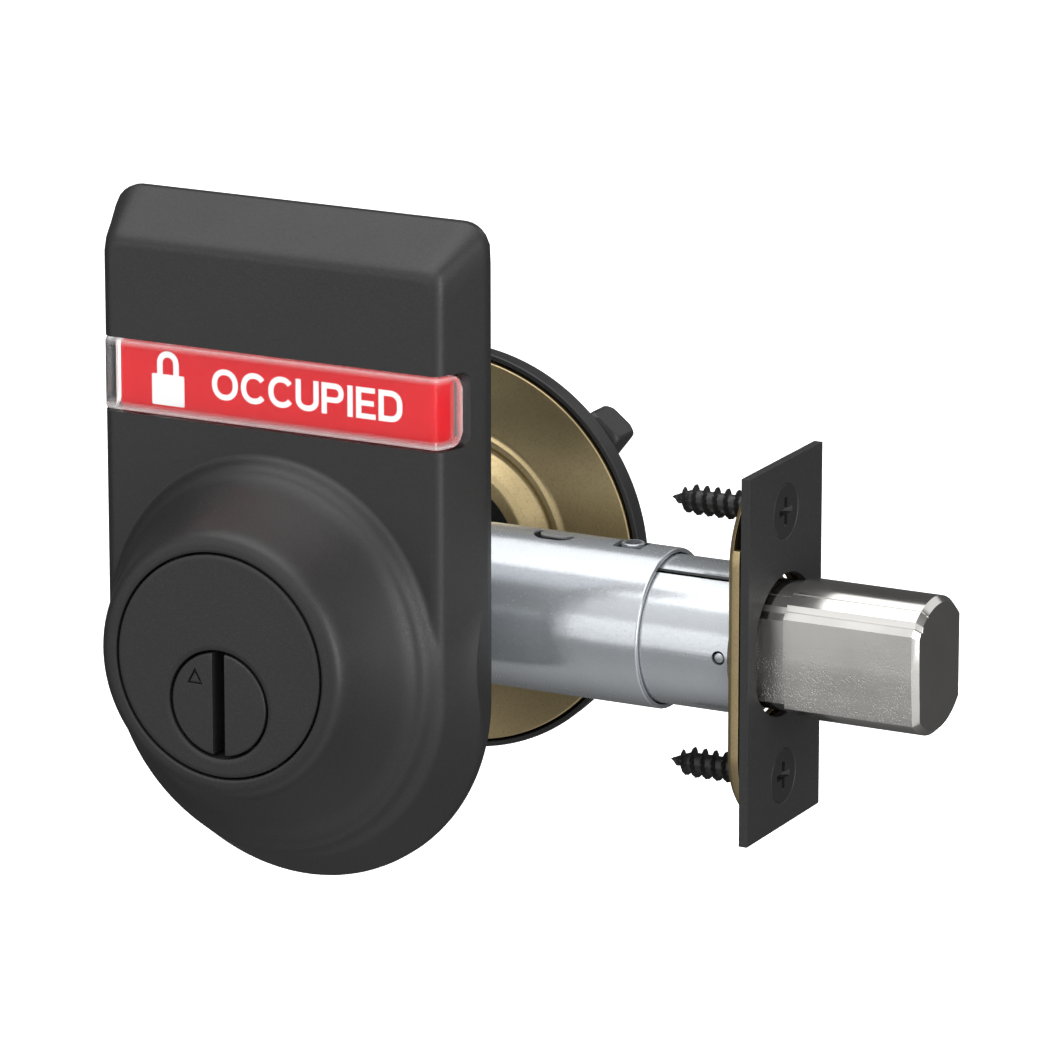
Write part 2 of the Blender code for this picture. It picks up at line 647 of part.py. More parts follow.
def make_turn_lever(mats):
    """Turn lever: a round hub on the rose and a flat upright grip, tilted towards the bolt."""
    face = INNER_FACE
    origin = (0.0, face, TURN_Z)
    hub = turned([(face + 8.9, 0), (face + 8.9, 9.0), (face + 11.5, 8.6), (face + 14.0, 7.0),
                  (face + 16.5, 5.0), (face + 17.2, 0)], "Y", TURN_AXIS, 32)
    lever = to_object("turn_lever", hub, origin)
    top = LEVER_REACH
    side = [(9.6, -11.5), (9.6, 9.0), (13.2, top), (20.2, top - 0.4), (20.6, 6.0), (20.6, -4.0),
            (17.0, -11.5)]
    grip = prism([(face + d, z) for d, z in side], "X", -3.4, 3.4)
    bmesh.ops.bevel(grip, geom=grip.edges, offset=1.2, segments=2, affect="EDGES",
                    clamp_overlap=True)
    finish_mesh(grip)
    turn = Matrix.Rotation(math.radians(LEVER_TILT), 4, "Y")
    place = Matrix.Translation(Vector((0.0, 0.0, TURN_Z)))
    bmesh.ops.transform(grip, matrix=place @ turn, verts=grip.verts)
    combine(lever, grip, "UNION")
    combine(lever, rod(4.3, face + 8.0, face + 13.4, "Y", TURN_AXIS, 28))
    return dress(lever, mats["black"])


def make_mounting_screws(mats):
    face = INNER_FACE
    for name, z in (("mounting_screw_upper", POST_Z), ("mounting_screw_lower", -POST_Z)):
        profile = [(depth(-6.0), 0), (depth(-6.5), 1.6), (depth(-7.0), 1.9), (face + 1.8, 1.9),
                   (face + 1.8, 3.6), (face + 2.6, 3.4), (face + 3.1, 2.4), (face + 3.1, 0)]
        screw = to_object(name, turned(profile, "Y", (0.0, z), 20))
        for half_x, half_z in ((0.4, 1.8), (1.8, 0.4)):
            recess = block((-half_x, half_x), (face + 2.2, face + 4), (z - half_z, z + half_z))
            combine(screw, recess)
        dress(screw, mats["steel"])


def main():
    for obj in list(bpy.data.objects):
        bpy.data.objects.remove(obj)
    mats = make_materials()
    for maker in (make_escutcheon, make_window_lens, make_panels, make_indicator_slide,
                  make_cylinder_housing, make_coin_plug, make_plug_retainer, make_drive_gear,
                  make_back_cover, make_cover_screws, make_mounting_posts, make_bolt_head,
                  make_anti_saw_pin, make_drive_bar, make_drive_rivet, make_crank, make_hub_bushes,
                  make_tailpiece, make_latch_tube, make_bolt_sleeve, make_guide_pin,
                  make_latch_backplate, make_faceplate, make_wood_screws, make_mounting_plate,
                  make_rose, make_turn_spindle, make_spring_washer, make_turn_lever,
                  make_mounting_screws):
        maker(mats)


main()
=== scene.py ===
"""Looks of an occupied / vacant indicator deadbolt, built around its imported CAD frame.

The frame's origin is where the bolt's axis crosses the axis of the door's cross bore. +X is the way
the bolt is thrown, -Y is the outside of the door and +Z is up. Shapes are worked out in millimetres
and become metres when a mesh is made. "Depth" counts outwards from the outside door face.
"""

import json
import math

import bmesh
import bpy
import numpy as np
from mathutils import Matrix, Vector


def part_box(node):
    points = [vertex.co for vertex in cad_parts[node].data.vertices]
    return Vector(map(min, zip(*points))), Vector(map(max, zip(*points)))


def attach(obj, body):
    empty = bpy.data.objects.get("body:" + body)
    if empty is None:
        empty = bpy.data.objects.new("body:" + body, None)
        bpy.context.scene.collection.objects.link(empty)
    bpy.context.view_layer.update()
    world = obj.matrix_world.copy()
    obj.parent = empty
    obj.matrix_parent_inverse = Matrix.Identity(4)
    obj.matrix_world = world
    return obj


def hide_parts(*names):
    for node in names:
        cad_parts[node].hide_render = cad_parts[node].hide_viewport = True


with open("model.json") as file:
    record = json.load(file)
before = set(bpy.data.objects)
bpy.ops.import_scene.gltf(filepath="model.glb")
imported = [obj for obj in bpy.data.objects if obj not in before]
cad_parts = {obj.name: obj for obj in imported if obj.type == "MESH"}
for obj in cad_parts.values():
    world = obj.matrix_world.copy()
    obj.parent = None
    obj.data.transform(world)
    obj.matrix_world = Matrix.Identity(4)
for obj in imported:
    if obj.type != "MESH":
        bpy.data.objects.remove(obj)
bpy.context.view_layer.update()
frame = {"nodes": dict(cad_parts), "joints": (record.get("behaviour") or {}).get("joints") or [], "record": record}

MM = 0.001
WHITE = (1.0, 1.0, 1.0, 1.0)


def box_mm(node):
    """Lowest and highest corner of a CAD node, in millimetres."""
    low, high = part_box(node)
    return np.array(low) / MM, np.array(high) / MM


def joint(name):
    return next(j for j in frame["joints"] if j["name"] == name)


# Places read from the frame
ESC_LOW, ESC_HIGH = box_mm("escutcheon")
OUTER_FACE = ESC_HIGH[1]
INNER_FACE = frame["record"]["mounts"][2]["pos_m"][1] / MM
HALF_W = ESC_HIGH[0]
TOP, BOTTOM = ESC_HIGH[2], ESC_LOW[2]
BOSS_DEPTH = OUTER_FACE - ESC_LOW[1]
TURN_Z = joint("turn")["pos_m"][2] / MM
DISC_R = box_mm("cylinder_housing")[1][0] - 1.0
PLUG_R = box_mm("coin_plug")[1][0]
LENS_LOW, LENS_HIGH = box_mm("window_lens")
FACE_LOW, FACE_HIGH = box_mm("faceplate")
BOLT_LOW, BOLT_HIGH = box_mm("bolt_head")
TUBE_LOW, TUBE_HIGH = box_mm("latch_tube")
SLEEVE_LOW, SLEEVE_HIGH = box_mm("bolt_sleeve")
ROSE_HIGH = box_mm("rose")[1]
POST_Z = (box_mm("mounting_screw_upper")[0][2] + box_mm("mounting_screw_upper")[1][2]) / 2
SCREW_Z = (box_mm("wood_screw_upper")[0][2] + box_mm("wood_screw_upper")[1][2]) / 2

# Escutcheon sizes
RIM_DEPTH = 1.65            # straight rim against the door
PANEL_DEPTH = 11.1          # flat front panel
SIDE_DRAFT = 0.34           # slope of the sides, mm per mm of depth
HEAD_DRAFT = 0.625          # slope of head and foot
CORNER_R = 4.2
WALL = 1.8
WINDOW_GAP = 0.3
WINDOW_BACK = 4.75
LENS_BACK = 6.3
AROUND = 264                # points on each ring of the escutcheon


# --- Materials ---

class Nodes:
    """A node tree with short calls to add and link nodes.

    Noise scales are per metre and bump distances are metres.
    """

    def __init__(self, owner, shader="Principled BSDF", coords="Object"):
        owner.use_nodes = True
        self.owner = owner
        self.tree = owner.node_tree
        self.shader = self.tree.nodes[shader]
        self.coords = self.add("ShaderNodeTexCoord").outputs[coords]

    def add(self, kind, inputs=None, **settings):
        node = self.tree.nodes.new(kind)
        for key, value in settings.items():
            setattr(node, key, value)
        for key, value in (inputs or {}).items():
            self.feed(node.inputs[key], value)
        return node

    def feed(self, socket, value):
        if isinstance(value, bpy.types.NodeSocket):
            self.tree.links.new(value, socket)
        else:
            socket.default_value = value

    def math(self, operation, first, second=0.0):
        made = self.add("ShaderNodeMath", {0: first, 1: second}, operation=operation)
        return made.outputs[0]

    def stretched(self, scale):
        return self.add("ShaderNodeMapping", {"Vector": self.coords, "Scale": scale}).outputs[0]

    def noise(self, scale, detail=3.0, rough=0.55, vector=None):
        made = self.add("ShaderNodeTexNoise", {"Vector": vector or self.coords, "Scale": scale,
                                               "Detail": detail, "Roughness": rough})
        return made.outputs["Fac"]

    def spread(self, value, low, high, from_low=0.3, from_high=0.7):
        made = self.add("ShaderNodeMapRange", {"Value": value, "From Min": from_low,
                                               "From Max": from_high, "To Min": low, "To Max": high})
        return made.outputs["Result"]

    def blend(self, factor, first, second):
        made = self.add("ShaderNodeMix", {0: factor, 6: first, 7: second}, data_type="RGBA")
        return made.outputs[2]

    def bump(self, height, strength, distance, under=None):
        inputs = {"Height": height, "Strength": strength, "Distance": distance}
        if under is not None:
            inputs["Normal"] = under
        return self.add("ShaderNodeBump", inputs).outputs["Normal"]

    def shade(self, **values):
        """Constants or links on the shader's own sockets, underscores standing for spaces."""
        for key, value in values.items():
            self.feed(self.shader.inputs[key.replace("_", " ")], value)


def tinted(colour, factor):
    return (*(min(1.0, c * factor) for c in colour), 1.0)


def make_coated(name, colour, rough, grain=2600.0, bump=0.25, gloss=0.5):
    """Satin paint: fine orange-peel texture, pale specks, cloudy tone and rubbed patches."""
    n = Nodes(bpy.data.materials.new(name))
    cloud = n.noise(38.0, 4.0)
    tone = n.blend(cloud, tinted(colour, 0.84), tinted(colour, 1.16))
    speckle = n.spread(n.noise(4200.0, 2.0, 0.6), 0.0, 0.5, 0.5, 0.72)
    base = n.blend(speckle, tone, tinted(colour, 1.9))
    rubbed = n.spread(n.noise(55.0, 5.0, 0.65), 0.03, -0.03)
    fine = n.noise(grain, 2.0)
    n.shade(Base_Color=base, Normal=n.bump(fine, bump, 0.00006), Specular_IOR_Level=gloss,
            Roughness=n.math("ADD", n.spread(fine, rough - 0.05, rough + 0.06), rubbed))
    return n.owner


def make_plated(name, colour, rough, tone=0.12, wave=0.25, wave_scale=90.0, fine=0.12,
                metallic=1.0):
    """Plated metal: cloudy tone with fine specks, a slightly uneven surface and fine grain."""
    n = Nodes(bpy.data.materials.new(name))
    cloud = n.noise(70.0, 5.0)
    specks = n.noise(3000.0, 3.0, 0.7)
    clouded = n.blend(cloud, tinted(colour, 1 - tone), tinted(colour, 1 + tone))
    base = n.blend(n.spread(specks, 0.0, 0.6, 0.5, 0.8), clouded, tinted(colour, 1 - 2.5 * tone))
    uneven = n.bump(n.noise(wave_scale, 2.0), wave, 0.0004)
    n.shade(Base_Color=base, Roughness=n.spread(specks, rough - 0.07, rough + 0.09),
            Normal=n.bump(specks, fine, 0.00005, uneven), Metallic=metallic)
    return n.owner


def make_cast_nickel():
    """Nickel over a casting: polished where round, satin and pitted in drifts on the two flats."""
    n = Nodes(bpy.data.materials.new("nickel_cast"))
    colour = (0.68, 0.665, 0.64)
    cloud = n.noise(110.0, 5.0, 0.6)
    base = n.blend(cloud, tinted(colour, 0.9), tinted(colour, 1.08))
    normal = n.add("ShaderNodeNewGeometry").outputs["Normal"]
    across = n.add("ShaderNodeSeparateXYZ", {0: normal}).outputs["Y"]
    on_flat = n.spread(n.math("ABSOLUTE", across), 0.0, 1.0, 0.9, 0.98)
    height = n.add("ShaderNodeSeparateXYZ", {0: n.coords}).outputs["Z"]
    low_down = n.spread(height, 1.0, 0.12, -0.002, 0.003)
    drift = n.spread(n.noise(190.0, 3.0), 0.15, 1.0, 0.42, 0.6)
    pits = n.spread(n.noise(3600.0, 2.0, 0.5), 0.0, 1.0, 0.55, 0.68)
    for mask in (drift, low_down, on_flat):
        pits = n.math("MULTIPLY", pits, mask)
    pitted = n.bump(pits, 0.6, 0.00007)
    pitted.node.invert = True
    brushed = n.noise(1500.0, 2.0, 0.5, n.stretched((0.06, 1.0, 1.0)))
    rough = n.math("ADD", n.spread(cloud, 0.13, 0.19), n.math("MULTIPLY", on_flat, 0.2))
    n.shade(Base_Color=base, Roughness=rough, Normal=n.bump(brushed, 0.06, 0.00006, pitted),
            Metallic=1.0)
    return n.owner


def make_plastic(name, colour, rough, gloss=0.5):
    """Moulded plastic: even colour with faint flow marks."""
    n = Nodes(bpy.data.materials.new(name))
    flow = n.noise(140.0, 3.0, 0.5, n.stretched((0.3, 1.0, 1.0)))
    n.shade(Base_Color=n.blend(flow, tinted(colour, 0.93), tinted(colour, 1.06)),
            Roughness=n.spread(n.noise(900.0, 2.0), rough - 0.05, rough + 0.06),
            Normal=n.bump(n.noise(1800.0, 2.0), 0.06, 0.00005), Specular_IOR_Level=gloss)
    return n.owner


def make_clear():
    """Clear polished plastic with a very slight ripple, frosted towards its moulded rim."""
    n = Nodes(bpy.data.materials.new("lens_clear"))
    middle, half = (LENS_LOW + LENS_HIGH) / 2 * MM, (LENS_HIGH - LENS_LOW) / 2 * MM
    split = n.add("ShaderNodeSeparateXYZ", {0: n.coords})
    rims = []
    for axis, at, reach, rim in (("Z", middle[2], half[2], 0.0011), ("X", 0.0, half[0], 0.0009)):
        off = n.math("ABSOLUTE", n.math("SUBTRACT", split.outputs[axis], at))
        rims.append(n.spread(off, 0.0, 0.42, reach - rim, reach))
    frost = n.math("MAXIMUM", rims[0], rims[1])
    n.shade(Roughness=n.spread(frost, 0.03, 0.4, 0.0, 0.5), IOR=1.2, Base_Color=WHITE,
            Transmission_Weight=n.spread(frost, 1.0, 0.6, 0.0, 0.55),
            Normal=n.bump(n.noise(120.0, 2.0), 0.05, 0.0001))
    return n.owner


MATS = {
    "black": make_coated("black_satin", (0.019, 0.019, 0.0193), 0.44),
    "black_face": make_coated("black_sheet", (0.025, 0.025, 0.0255), 0.5, 2100.0, 0.4, gloss=0.4),
    "black_screw": make_coated("black_oxide", (0.016, 0.016, 0.0165), 0.42, 3200.0, 0.2),
    # painted shade: a near-black matte finish, used only for the dark pieces that stand in for the shade inside
    # the latch tube
    "painted_shade_black": make_coated("painted_shade_matte", (0.006, 0.006, 0.006), 0.75, gloss=0.08),
    "zinc": make_plated("zinc_bright", (0.57, 0.60, 0.63), 0.2, 0.07, 0.22, 110.0, fine=0.05,
                        metallic=0.65),
    "brass": make_plated("chromate_yellow", (0.50, 0.395, 0.215), 0.4, 0.2, 0.2),
    "steel": make_plated("steel_zinc", (0.55, 0.57, 0.60), 0.3),
    "bronze": make_plated("bush_bronze", (0.42, 0.27, 0.14), 0.42),
    "nickel": make_cast_nickel(),
    "red": make_plastic("panel_red", (0.60, 0.008, 0.014), 0.5, 0.1),
    "green": make_plastic("panel_green", (0.015, 0.32, 0.07), 0.5, 0.1),
    "print": make_plastic("print_white", (0.82, 0.82, 0.83), 0.5),
    "nylon": make_plastic("slide_nylon", (0.72, 0.71, 0.66), 0.5),
    "clear": make_clear(),
}


# --- Shape tools ---

def depth(value):
    """y of a plane that lies this far in front of the outside door face."""
    return OUTER_FACE - value


def soften(points, radius, steps=4, closed=False):
    """Round the corners of a flat line. radius is one number, or one for each point."""
    line = [np.array(p, float) for p in points]
    count = len(line)
    radii = [radius] * count if np.isscalar(radius) else list(radius)
    out = []
    for i, p in enumerate(line):
        at_end = not closed and i in (0, count - 1)
        u, v = line[i - 1] - p, line[(i + 1) % count] - p
        lu, lv = np.linalg.norm(u), np.linalg.norm(v)
        if at_end or radii[i] <= 0 or min(lu, lv) < 1e-9:
            out.append(p)
            continue
        u, v = u / lu, v / lv
        half = math.acos(np.clip(u @ v, -1, 1)) / 2
        if half > 1.55:
            out.append(p)
            continue
        cut = min(radii[i] / math.tan(half), 0.48 * lu, 0.48 * lv)
        r = cut * math.tan(half)
        centre = p + (u + v) / np.linalg.norm(u + v) * r / math.sin(half)
        a = p + u * cut - centre
        b = p + v * cut - centre
        start = math.atan2(a[1], a[0])
        turn = (math.atan2(b[1], b[0]) - start + math.pi) % (2 * math.pi) - math.pi
        for k in range(steps + 1):
            angle = start + turn * k / steps
            out.append(centre + r * np.array((math.cos(angle), math.sin(angle))))
    return out


def arc(centre, radius, start, end, steps):
    """Points on an arc, angles in degrees, both ends included."""
    angles = np.radians(np.linspace(start, end, steps + 1))
    return [(centre[0] + radius * math.cos(a), centre[1] + radius * math.sin(a)) for a in angles]


def circle(a, radius, level, z=0.0):
    """Points at these angles round a centre in front of the door, at a depth."""
    return np.stack([radius * np.cos(a), np.full(len(a), depth(level)), z + radius * np.sin(a)], 1)


def on_axis(axis, along, u, v):
    """A point given by its place along an axis and across it, in X, Y, Z order."""
    return {"X": (along, u, v), "Y": (u, along, v), "Z": (u, v, along)}[axis]


def linked(name, data):
    obj = bpy.data.objects.new(name, data)
    bpy.context.scene.collection.objects.link(obj)
    return obj


def build(name, verts, faces):
    """A mesh object in metres from points in millimetres, its normals made to face outwards."""
    mesh = bpy.data.meshes.new(name)
    mesh.from_pydata([tuple(float(c) * MM for c in v) for v in verts], [], faces)
    bm = bmesh.new()
    bm.from_mesh(mesh)
    bmesh.ops.remove_doubles(bm, verts=bm.verts, dist=1e-8)
    bmesh.ops.dissolve_degenerate(bm, edges=bm.edges, dist=1e-8)
    bmesh.ops.recalc_face_normals(bm, faces=bm.faces)
    if bm.calc_volume(signed=True) < 0:
        bmesh.ops.reverse_faces(bm, faces=bm.faces)
    bm.to_mesh(mesh)
    bm.free()
    return linked(name, mesh)


def skin(name, rings, closed=False):
    """Closed skin through rings of equally many points; open stacks get flat end caps."""
    count = len(rings[0])
    verts = [p for ring in rings for p in ring]
    stack = len(rings)
    faces = []
    for k in range(stack if closed else stack - 1):
        low, high = k * count, ((k + 1) % stack) * count
        for i in range(count):
            j = (i + 1) % count
            faces.append((low + i, low + j, high + j, high + i))
    if not closed:
        faces.append(tuple(range(count)))
        faces.append(tuple((stack - 1) * count + i for i in range(count)))
    return build(name, verts, faces)


def turned(name, profile, axis, centre=(0.0, 0.0), segments=96, closed=False):
    """Solid of revolution. profile lists (along, radius) pairs; a closed one leaves a bore."""
    angles = np.linspace(0, 2 * math.pi, segments, endpoint=False)
    rings = [[on_axis(axis, along, centre[0] + radius * math.cos(a), centre[1] + radius * math.sin(a))
              for a in angles] for along, radius in profile]
    return skin(name, rings, closed)


def rod(axis, low, high, radius, centre=(0.0, 0.0), segments=40):
    """A plain round bar, to cut a hole with."""
    return turned("rod", [(low, radius), (high, radius)], axis, centre, segments)


def prism(name, outline, axis, low, high):
    return skin(name, [[on_axis(axis, end, u, v) for u, v in outline] for end in (low, high)])


def slab(name, x, y, z):
    return prism(name, [(y[0], z[0]), (y[1], z[0]), (y[1], z[1]), (y[0], z[1])], "X", x[0], x[1])


def combine(target, tools, operation="DIFFERENCE"):
    """Cut meshes from an object, or join them on, for good; the tools are removed."""
    for tool in tools:
        modifier = target.modifiers.new("combine", "BOOLEAN")
        modifier.object = tool
        modifier.operation = operation
        modifier.solver = "EXACT"
        bpy.context.view_layer.update()
        evaluated = target.evaluated_get(bpy.context.evaluated_depsgraph_get())
        mesh = bpy.data.meshes.new_from_object(evaluated)
        target.modifiers.remove(modifier)
        target.data = mesh
        bpy.data.objects.remove(tool)
    return target


def join(name, objects):
    """One object from several that don't touch."""
    bm = bmesh.new()
    for obj in objects:
        bm.from_mesh(obj.data)
        bpy.data.objects.remove(obj)
    mesh = bpy.data.meshes.new(name)
    bm.to_mesh(mesh)
    bm.free()
    return linked(name, mesh)


def bevelled(obj, width, segments=2, angle=32.0):
    modifier = obj.modifiers.new("edges", "BEVEL")
    modifier.width = width * MM
    modifier.segments = segments
    modifier.limit_method = "ANGLE"
    modifier.angle_limit = math.radians(angle)
    return obj


def shaded(obj, mat, sharp=32.0):
    obj.data.materials.clear()
    obj.data.materials.append(MATS[mat])
    obj.data.shade_smooth()
    obj.data.set_sharp_from_angle(angle=math.radians(sharp))
    normals = obj.modifiers.new("normals", "WEIGHTED_NORMAL")
    normals.keep_sharp = True
    return obj


def place(obj, body, mat, *nodes, sharp=32.0):
    """Finish a piece: material, shading, the body it rides on and the CAD nodes it stands for."""
    shaded(obj, mat, sharp)
    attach(obj, body)
    if nodes:
        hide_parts(*nodes)
    return obj


# --- Escutcheon ---

def shield_size(level):
    """Half width, top, bottom and corner radius of the escutcheon at a depth on its slopes."""
    slope = max(0.0, level - RIM_DEPTH)
    return np.array((HALF_W - SIDE_DRAFT * slope, TOP - HEAD_DRAFT * slope,
                     BOTTOM + HEAD_DRAFT * slope, CORNER_R - 0.2 * slope))


def reach_at(a, line):
    """How far from the centre a closed line lies on rays at these angles."""
    angles = np.arctan2(line[:, 1], line[:, 0])
    order = np.argsort(angles)
    return np.interp(a, angles[order], np.hypot(*line.T)[order], period=2 * math.pi)


def shield_ring(size, y):
    """The escutcheon's outline as AROUND points, one on each ray from the boss's centre."""
    half_w, top, bottom, corner = size
    outline = (arc((0, bottom + half_w), half_w, 180, 360, 120)
               + arc((half_w - corner, top - corner), corner, 0, 90, 12)
               + arc((corner - half_w, top - corner), corner, 90, 180, 12))
    line = np.array(outline + outline[:1])
    steps = np.linspace(0, 1, 40, endpoint=False)
    dense = np.concatenate([a + (b - a) * steps[:, None] for a, b in zip(line, line[1:])])
    a = ring_angles()
    radii = reach_at(a, dense)
    return np.stack([radii * np.cos(a), np.full(len(a), y), radii * np.sin(a)], 1)


def ring_angles():
    """Angles of the rays: even, but drawn together at the square head's two corners."""
    even = np.linspace(-math.pi, math.pi, AROUND, endpoint=False)
    corner = math.atan2(TOP - CORNER_R, HALF_W - CORNER_R)
    pull = np.zeros(AROUND)
    for angle in (corner, math.pi - corner):
        off = even - angle
        pull += -0.5 * off * np.exp(-(off / 0.16) ** 2)
    return even + pull


# The boss, as radius and depth from its base in to its front
BOSS_PROFILE = [(36.0, -4.0), (30.6, 6.0), (28.6, 10.2), (28.1, 11.4), (27.5, 12.6), (26.9, 13.25),
                (26.0, 13.8), (25.0, 15.2), (23.9, 17.5), (22.85, 19.9), (21.95, 22.2), (21.2, 24.4),
                (20.75, 25.9), (20.35, 26.75), (19.6, 27.3), (18.7, BOSS_DEPTH), (10.0, BOSS_DEPTH)]
BOSS_DROP = 5.2             # how much lower the egg-shaped base reaches than a round one
DROP_FROM = 20.9            # radius where the rings begin to hang
DROP_FULL = 27.2            # radius where they hang by all of BOSS_DROP
BLUR = 19                   # samples on each side that soften the profile


def dropped(radius):
    return np.clip((radius - DROP_FROM) / (DROP_FULL - DROP_FROM), 0, 1) ** 0.9 * BOSS_DROP


def boss_height(x, z):
    """Depth of the boss's surface over a point; its base is an egg that hangs lower than its rim."""
    radii = np.linspace(BOSS_PROFILE[-1][0], BOSS_PROFILE[0][0], 521)
    levels = np.interp(radii, *np.array(BOSS_PROFILE[::-1]).T)
    kernel = np.exp(-np.linspace(-3, 3, 2 * BLUR + 1) ** 2 / 2)
    levels = np.convolve(np.pad(levels, BLUR, "edge"), kernel / kernel.sum(), "valid")
    up = z.copy()
    for _ in range(12):
        r = np.hypot(x, up)
        up = z + dropped(r) * (1 - up / np.maximum(r, 1e-6)) / 2
    return np.interp(np.hypot(x, up), radii, levels)


def boss_ring(radius, a):
    """One ring of the boss's egg, in x and z."""
    drop = dropped(radius) * (1 - np.sin(a)) / 2
    return np.stack([radius * np.cos(a), radius * np.sin(a) - drop], 1)


def held_inside(points, edge, gap):
    """Points pulled in along their rays where they would come within a gap of the edge ring."""
    limit = reach_at(np.arctan2(points[:, 1], points[:, 0]), edge) - gap
    return points * np.minimum(1.0, limit / np.hypot(*points.T))[:, None]


def smooth_max(a, b, blend):
    """The greater of two depths, with a fillet where they cross."""
    h = np.clip(0.5 + 0.5 * (b - a) / blend, 0, 1)
    return a * (1 - h) + b * h + blend * h * (1 - h)


ROLL = 1.5                  # reach of the roll between the slopes and the front panel
BASE_R = 30.2               # ring on the panel where the boss begins
EDGE_GAP = 0.25             # least distance from the boss's rings to the panel's edge


def front_rings(a):
    """Rings in x and z from the slopes in to the boss's front, each with its depth on the plate."""
    corner = shield_size(PANEL_DEPTH)
    low_end = shield_size(PANEL_DEPTH - ROLL)
    inner_end = corner - np.array((ROLL, ROLL, -ROLL, 0.4))
    sizes = [(shield_size(level), level)
             for level in np.linspace(RIM_DEPTH + 0.45, PANEL_DEPTH - ROLL, 14)]
    inward = np.linspace(0, 1, 12)[1:]
    for t in inward:
        size = low_end * (1 - t) ** 2 + corner * 2 * t * (1 - t) + inner_end * t * t
        level = (PANEL_DEPTH - ROLL) * (1 - t) ** 2 + PANEL_DEPTH * (2 * t * (1 - t) + t * t)
        sizes.append((size, level))
    rings = [(shield_ring(size, 0.0)[:, [0, 2]], level) for size, level in sizes]
    edge = rings[-1][0]
    base = held_inside(boss_ring(BASE_R, a), edge, EDGE_GAP)
    rings += [(edge * (1 - t) + base * t, PANEL_DEPTH) for t in inward]
    for radius in np.concatenate([np.linspace(29.9, 26.2, 26), np.linspace(25.9, 21.0, 22),
                                  np.linspace(20.85, 18.6, 14), [18.0]]):
        gap = EDGE_GAP + 0.012 * (31 - radius)
        rings.append((held_inside(boss_ring(radius, a), edge, gap), PANEL_DEPTH))
    return rings


def make_escutcheon():
    """Cast shell: slopes, panel and boss outside, then the bore and the hollow back to the rim."""
    a = ring_angles()
    flat, levels = zip(*front_rings(a))
    grid = np.array(flat)
    plate = np.array(levels)[:, None]
    height = smooth_max(plate, boss_height(grid[:, :, 0], grid[:, :, 1]), 1.2)
    rings = [np.stack([g[:, 0], OUTER_FACE - h, g[:, 1]], 1) for g, h in zip(grid, height)]
    bore = DISC_R + WINDOW_GAP
    for radius, level in ((bore + 0.35, BOSS_DEPTH), (bore + 0.1, BOSS_DEPTH - 0.1),
                          (bore, BOSS_DEPTH - 0.35), (bore, 24.5), (18.6, 24.5), (18.9, 20.0),
                          (24.0, 11.5), (24.0, PANEL_DEPTH - WALL)):
        rings.append(circle(a, radius, level))
    thick = np.array((WALL, WALL, -WALL, WALL * 0.5))
    for level in (PANEL_DEPTH - WALL, RIM_DEPTH, 0.15):
        rings.append(shield_ring(shield_size(level) - thick, depth(level)))
    rings.append(shield_ring(shield_size(0) - thick + np.array((0.15, 0.15, -0.15, 0)), depth(0)))
    for inset, level in ((0.3, 0.0), (0.09, 0.09), (0.0, 0.3), (0.0, RIM_DEPTH - 0.35),
                         (0.03, RIM_DEPTH - 0.05)):
        cut = np.array((inset, inset, -inset, 0))
        rings.append(shield_ring(shield_size(0) - cut, depth(level)))
    body = skin("escutcheon_shell", rings, closed=True)
    combine(body, [window_cutter()])
    return place(body, "lock", "black", "escutcheon", sharp=38)


def window_cutter():
    """Pocket for the lens: through the front and both sides, its ends rounded."""
    low, high = LENS_LOW[2] - WINDOW_GAP, LENS_HIGH[2] + WINDOW_GAP
    back, outside = depth(WINDOW_BACK), depth(16)
    outline = soften([(back, low), (back, high), (outside, high), (outside, low)],
                     [2.0, 2.0, 0, 0], 8, True)
    return prism("window_cutter", outline, "X", -40, 40)


# --- Window: lens, panels and their markings ---

def wrap_path(offset, back, radius):
    """The line round the front that the lens and the panels follow, in x and depth."""
    lean = math.hypot(1.0, SIDE_DRAFT)
    side = HALF_W + SIDE_DRAFT * RIM_DEPTH - offset * lean
    front = PANEL_DEPTH - offset
    half = [(side - SIDE_DRAFT * back, back), (side - SIDE_DRAFT * front, front)]
    return soften(half + [(-x, d) for x, d in reversed(half)], radius, 8)


END_ZONE = 4.0              # how near its ends a strip gets extra sections for its rounded corners
END_STEP = 0.5


def strip(name, offset, thickness, back, z, corner, radius, edge):
    """A strip that wraps behind the front: thin across, tall in z, with rounded ends and edges."""
    line = np.array(wrap_path(offset, back, radius))
    ends = line[[0, -1]]
    fine = [line[0]]
    for a, b in zip(line, line[1:]):
        count = 1
        if min(np.linalg.norm(p - end) for p in (a, b) for end in ends) < END_ZONE:
            count = max(1, int(np.linalg.norm(b - a) / END_STEP))
        fine += [a + (b - a) * k / count for k in range(1, count + 1)]
    line = np.array(fine)
    along = np.concatenate([[0], np.cumsum(np.linalg.norm(np.diff(line, axis=0), axis=1))])
    total = along[-1]
    middle, half = (z[0] + z[1]) / 2, (z[1] - z[0]) / 2
    rings = []
    for k, point in enumerate(line):
        tangent = line[min(k + 1, len(line) - 1)] - line[max(k - 1, 0)]
        normal = np.array((-tangent[1], tangent[0])) / np.linalg.norm(tangent)
        if normal @ point < 0:
            normal = -normal
        into = max(0.0, corner - min(along[k], total - along[k]))
        tall = half - min(corner - math.sqrt(corner ** 2 - into ** 2), corner * 0.94)
        section = soften([(0, -tall), (0, tall), (-thickness, tall), (-thickness, -tall)],
                         [edge, edge, edge * 0.4, edge * 0.4], 3, True)
        rings.append([(point[0] + normal[0] * s, depth(point[1] + normal[1] * s), middle + t)
                      for s, t in section])
    return skin(name, rings)


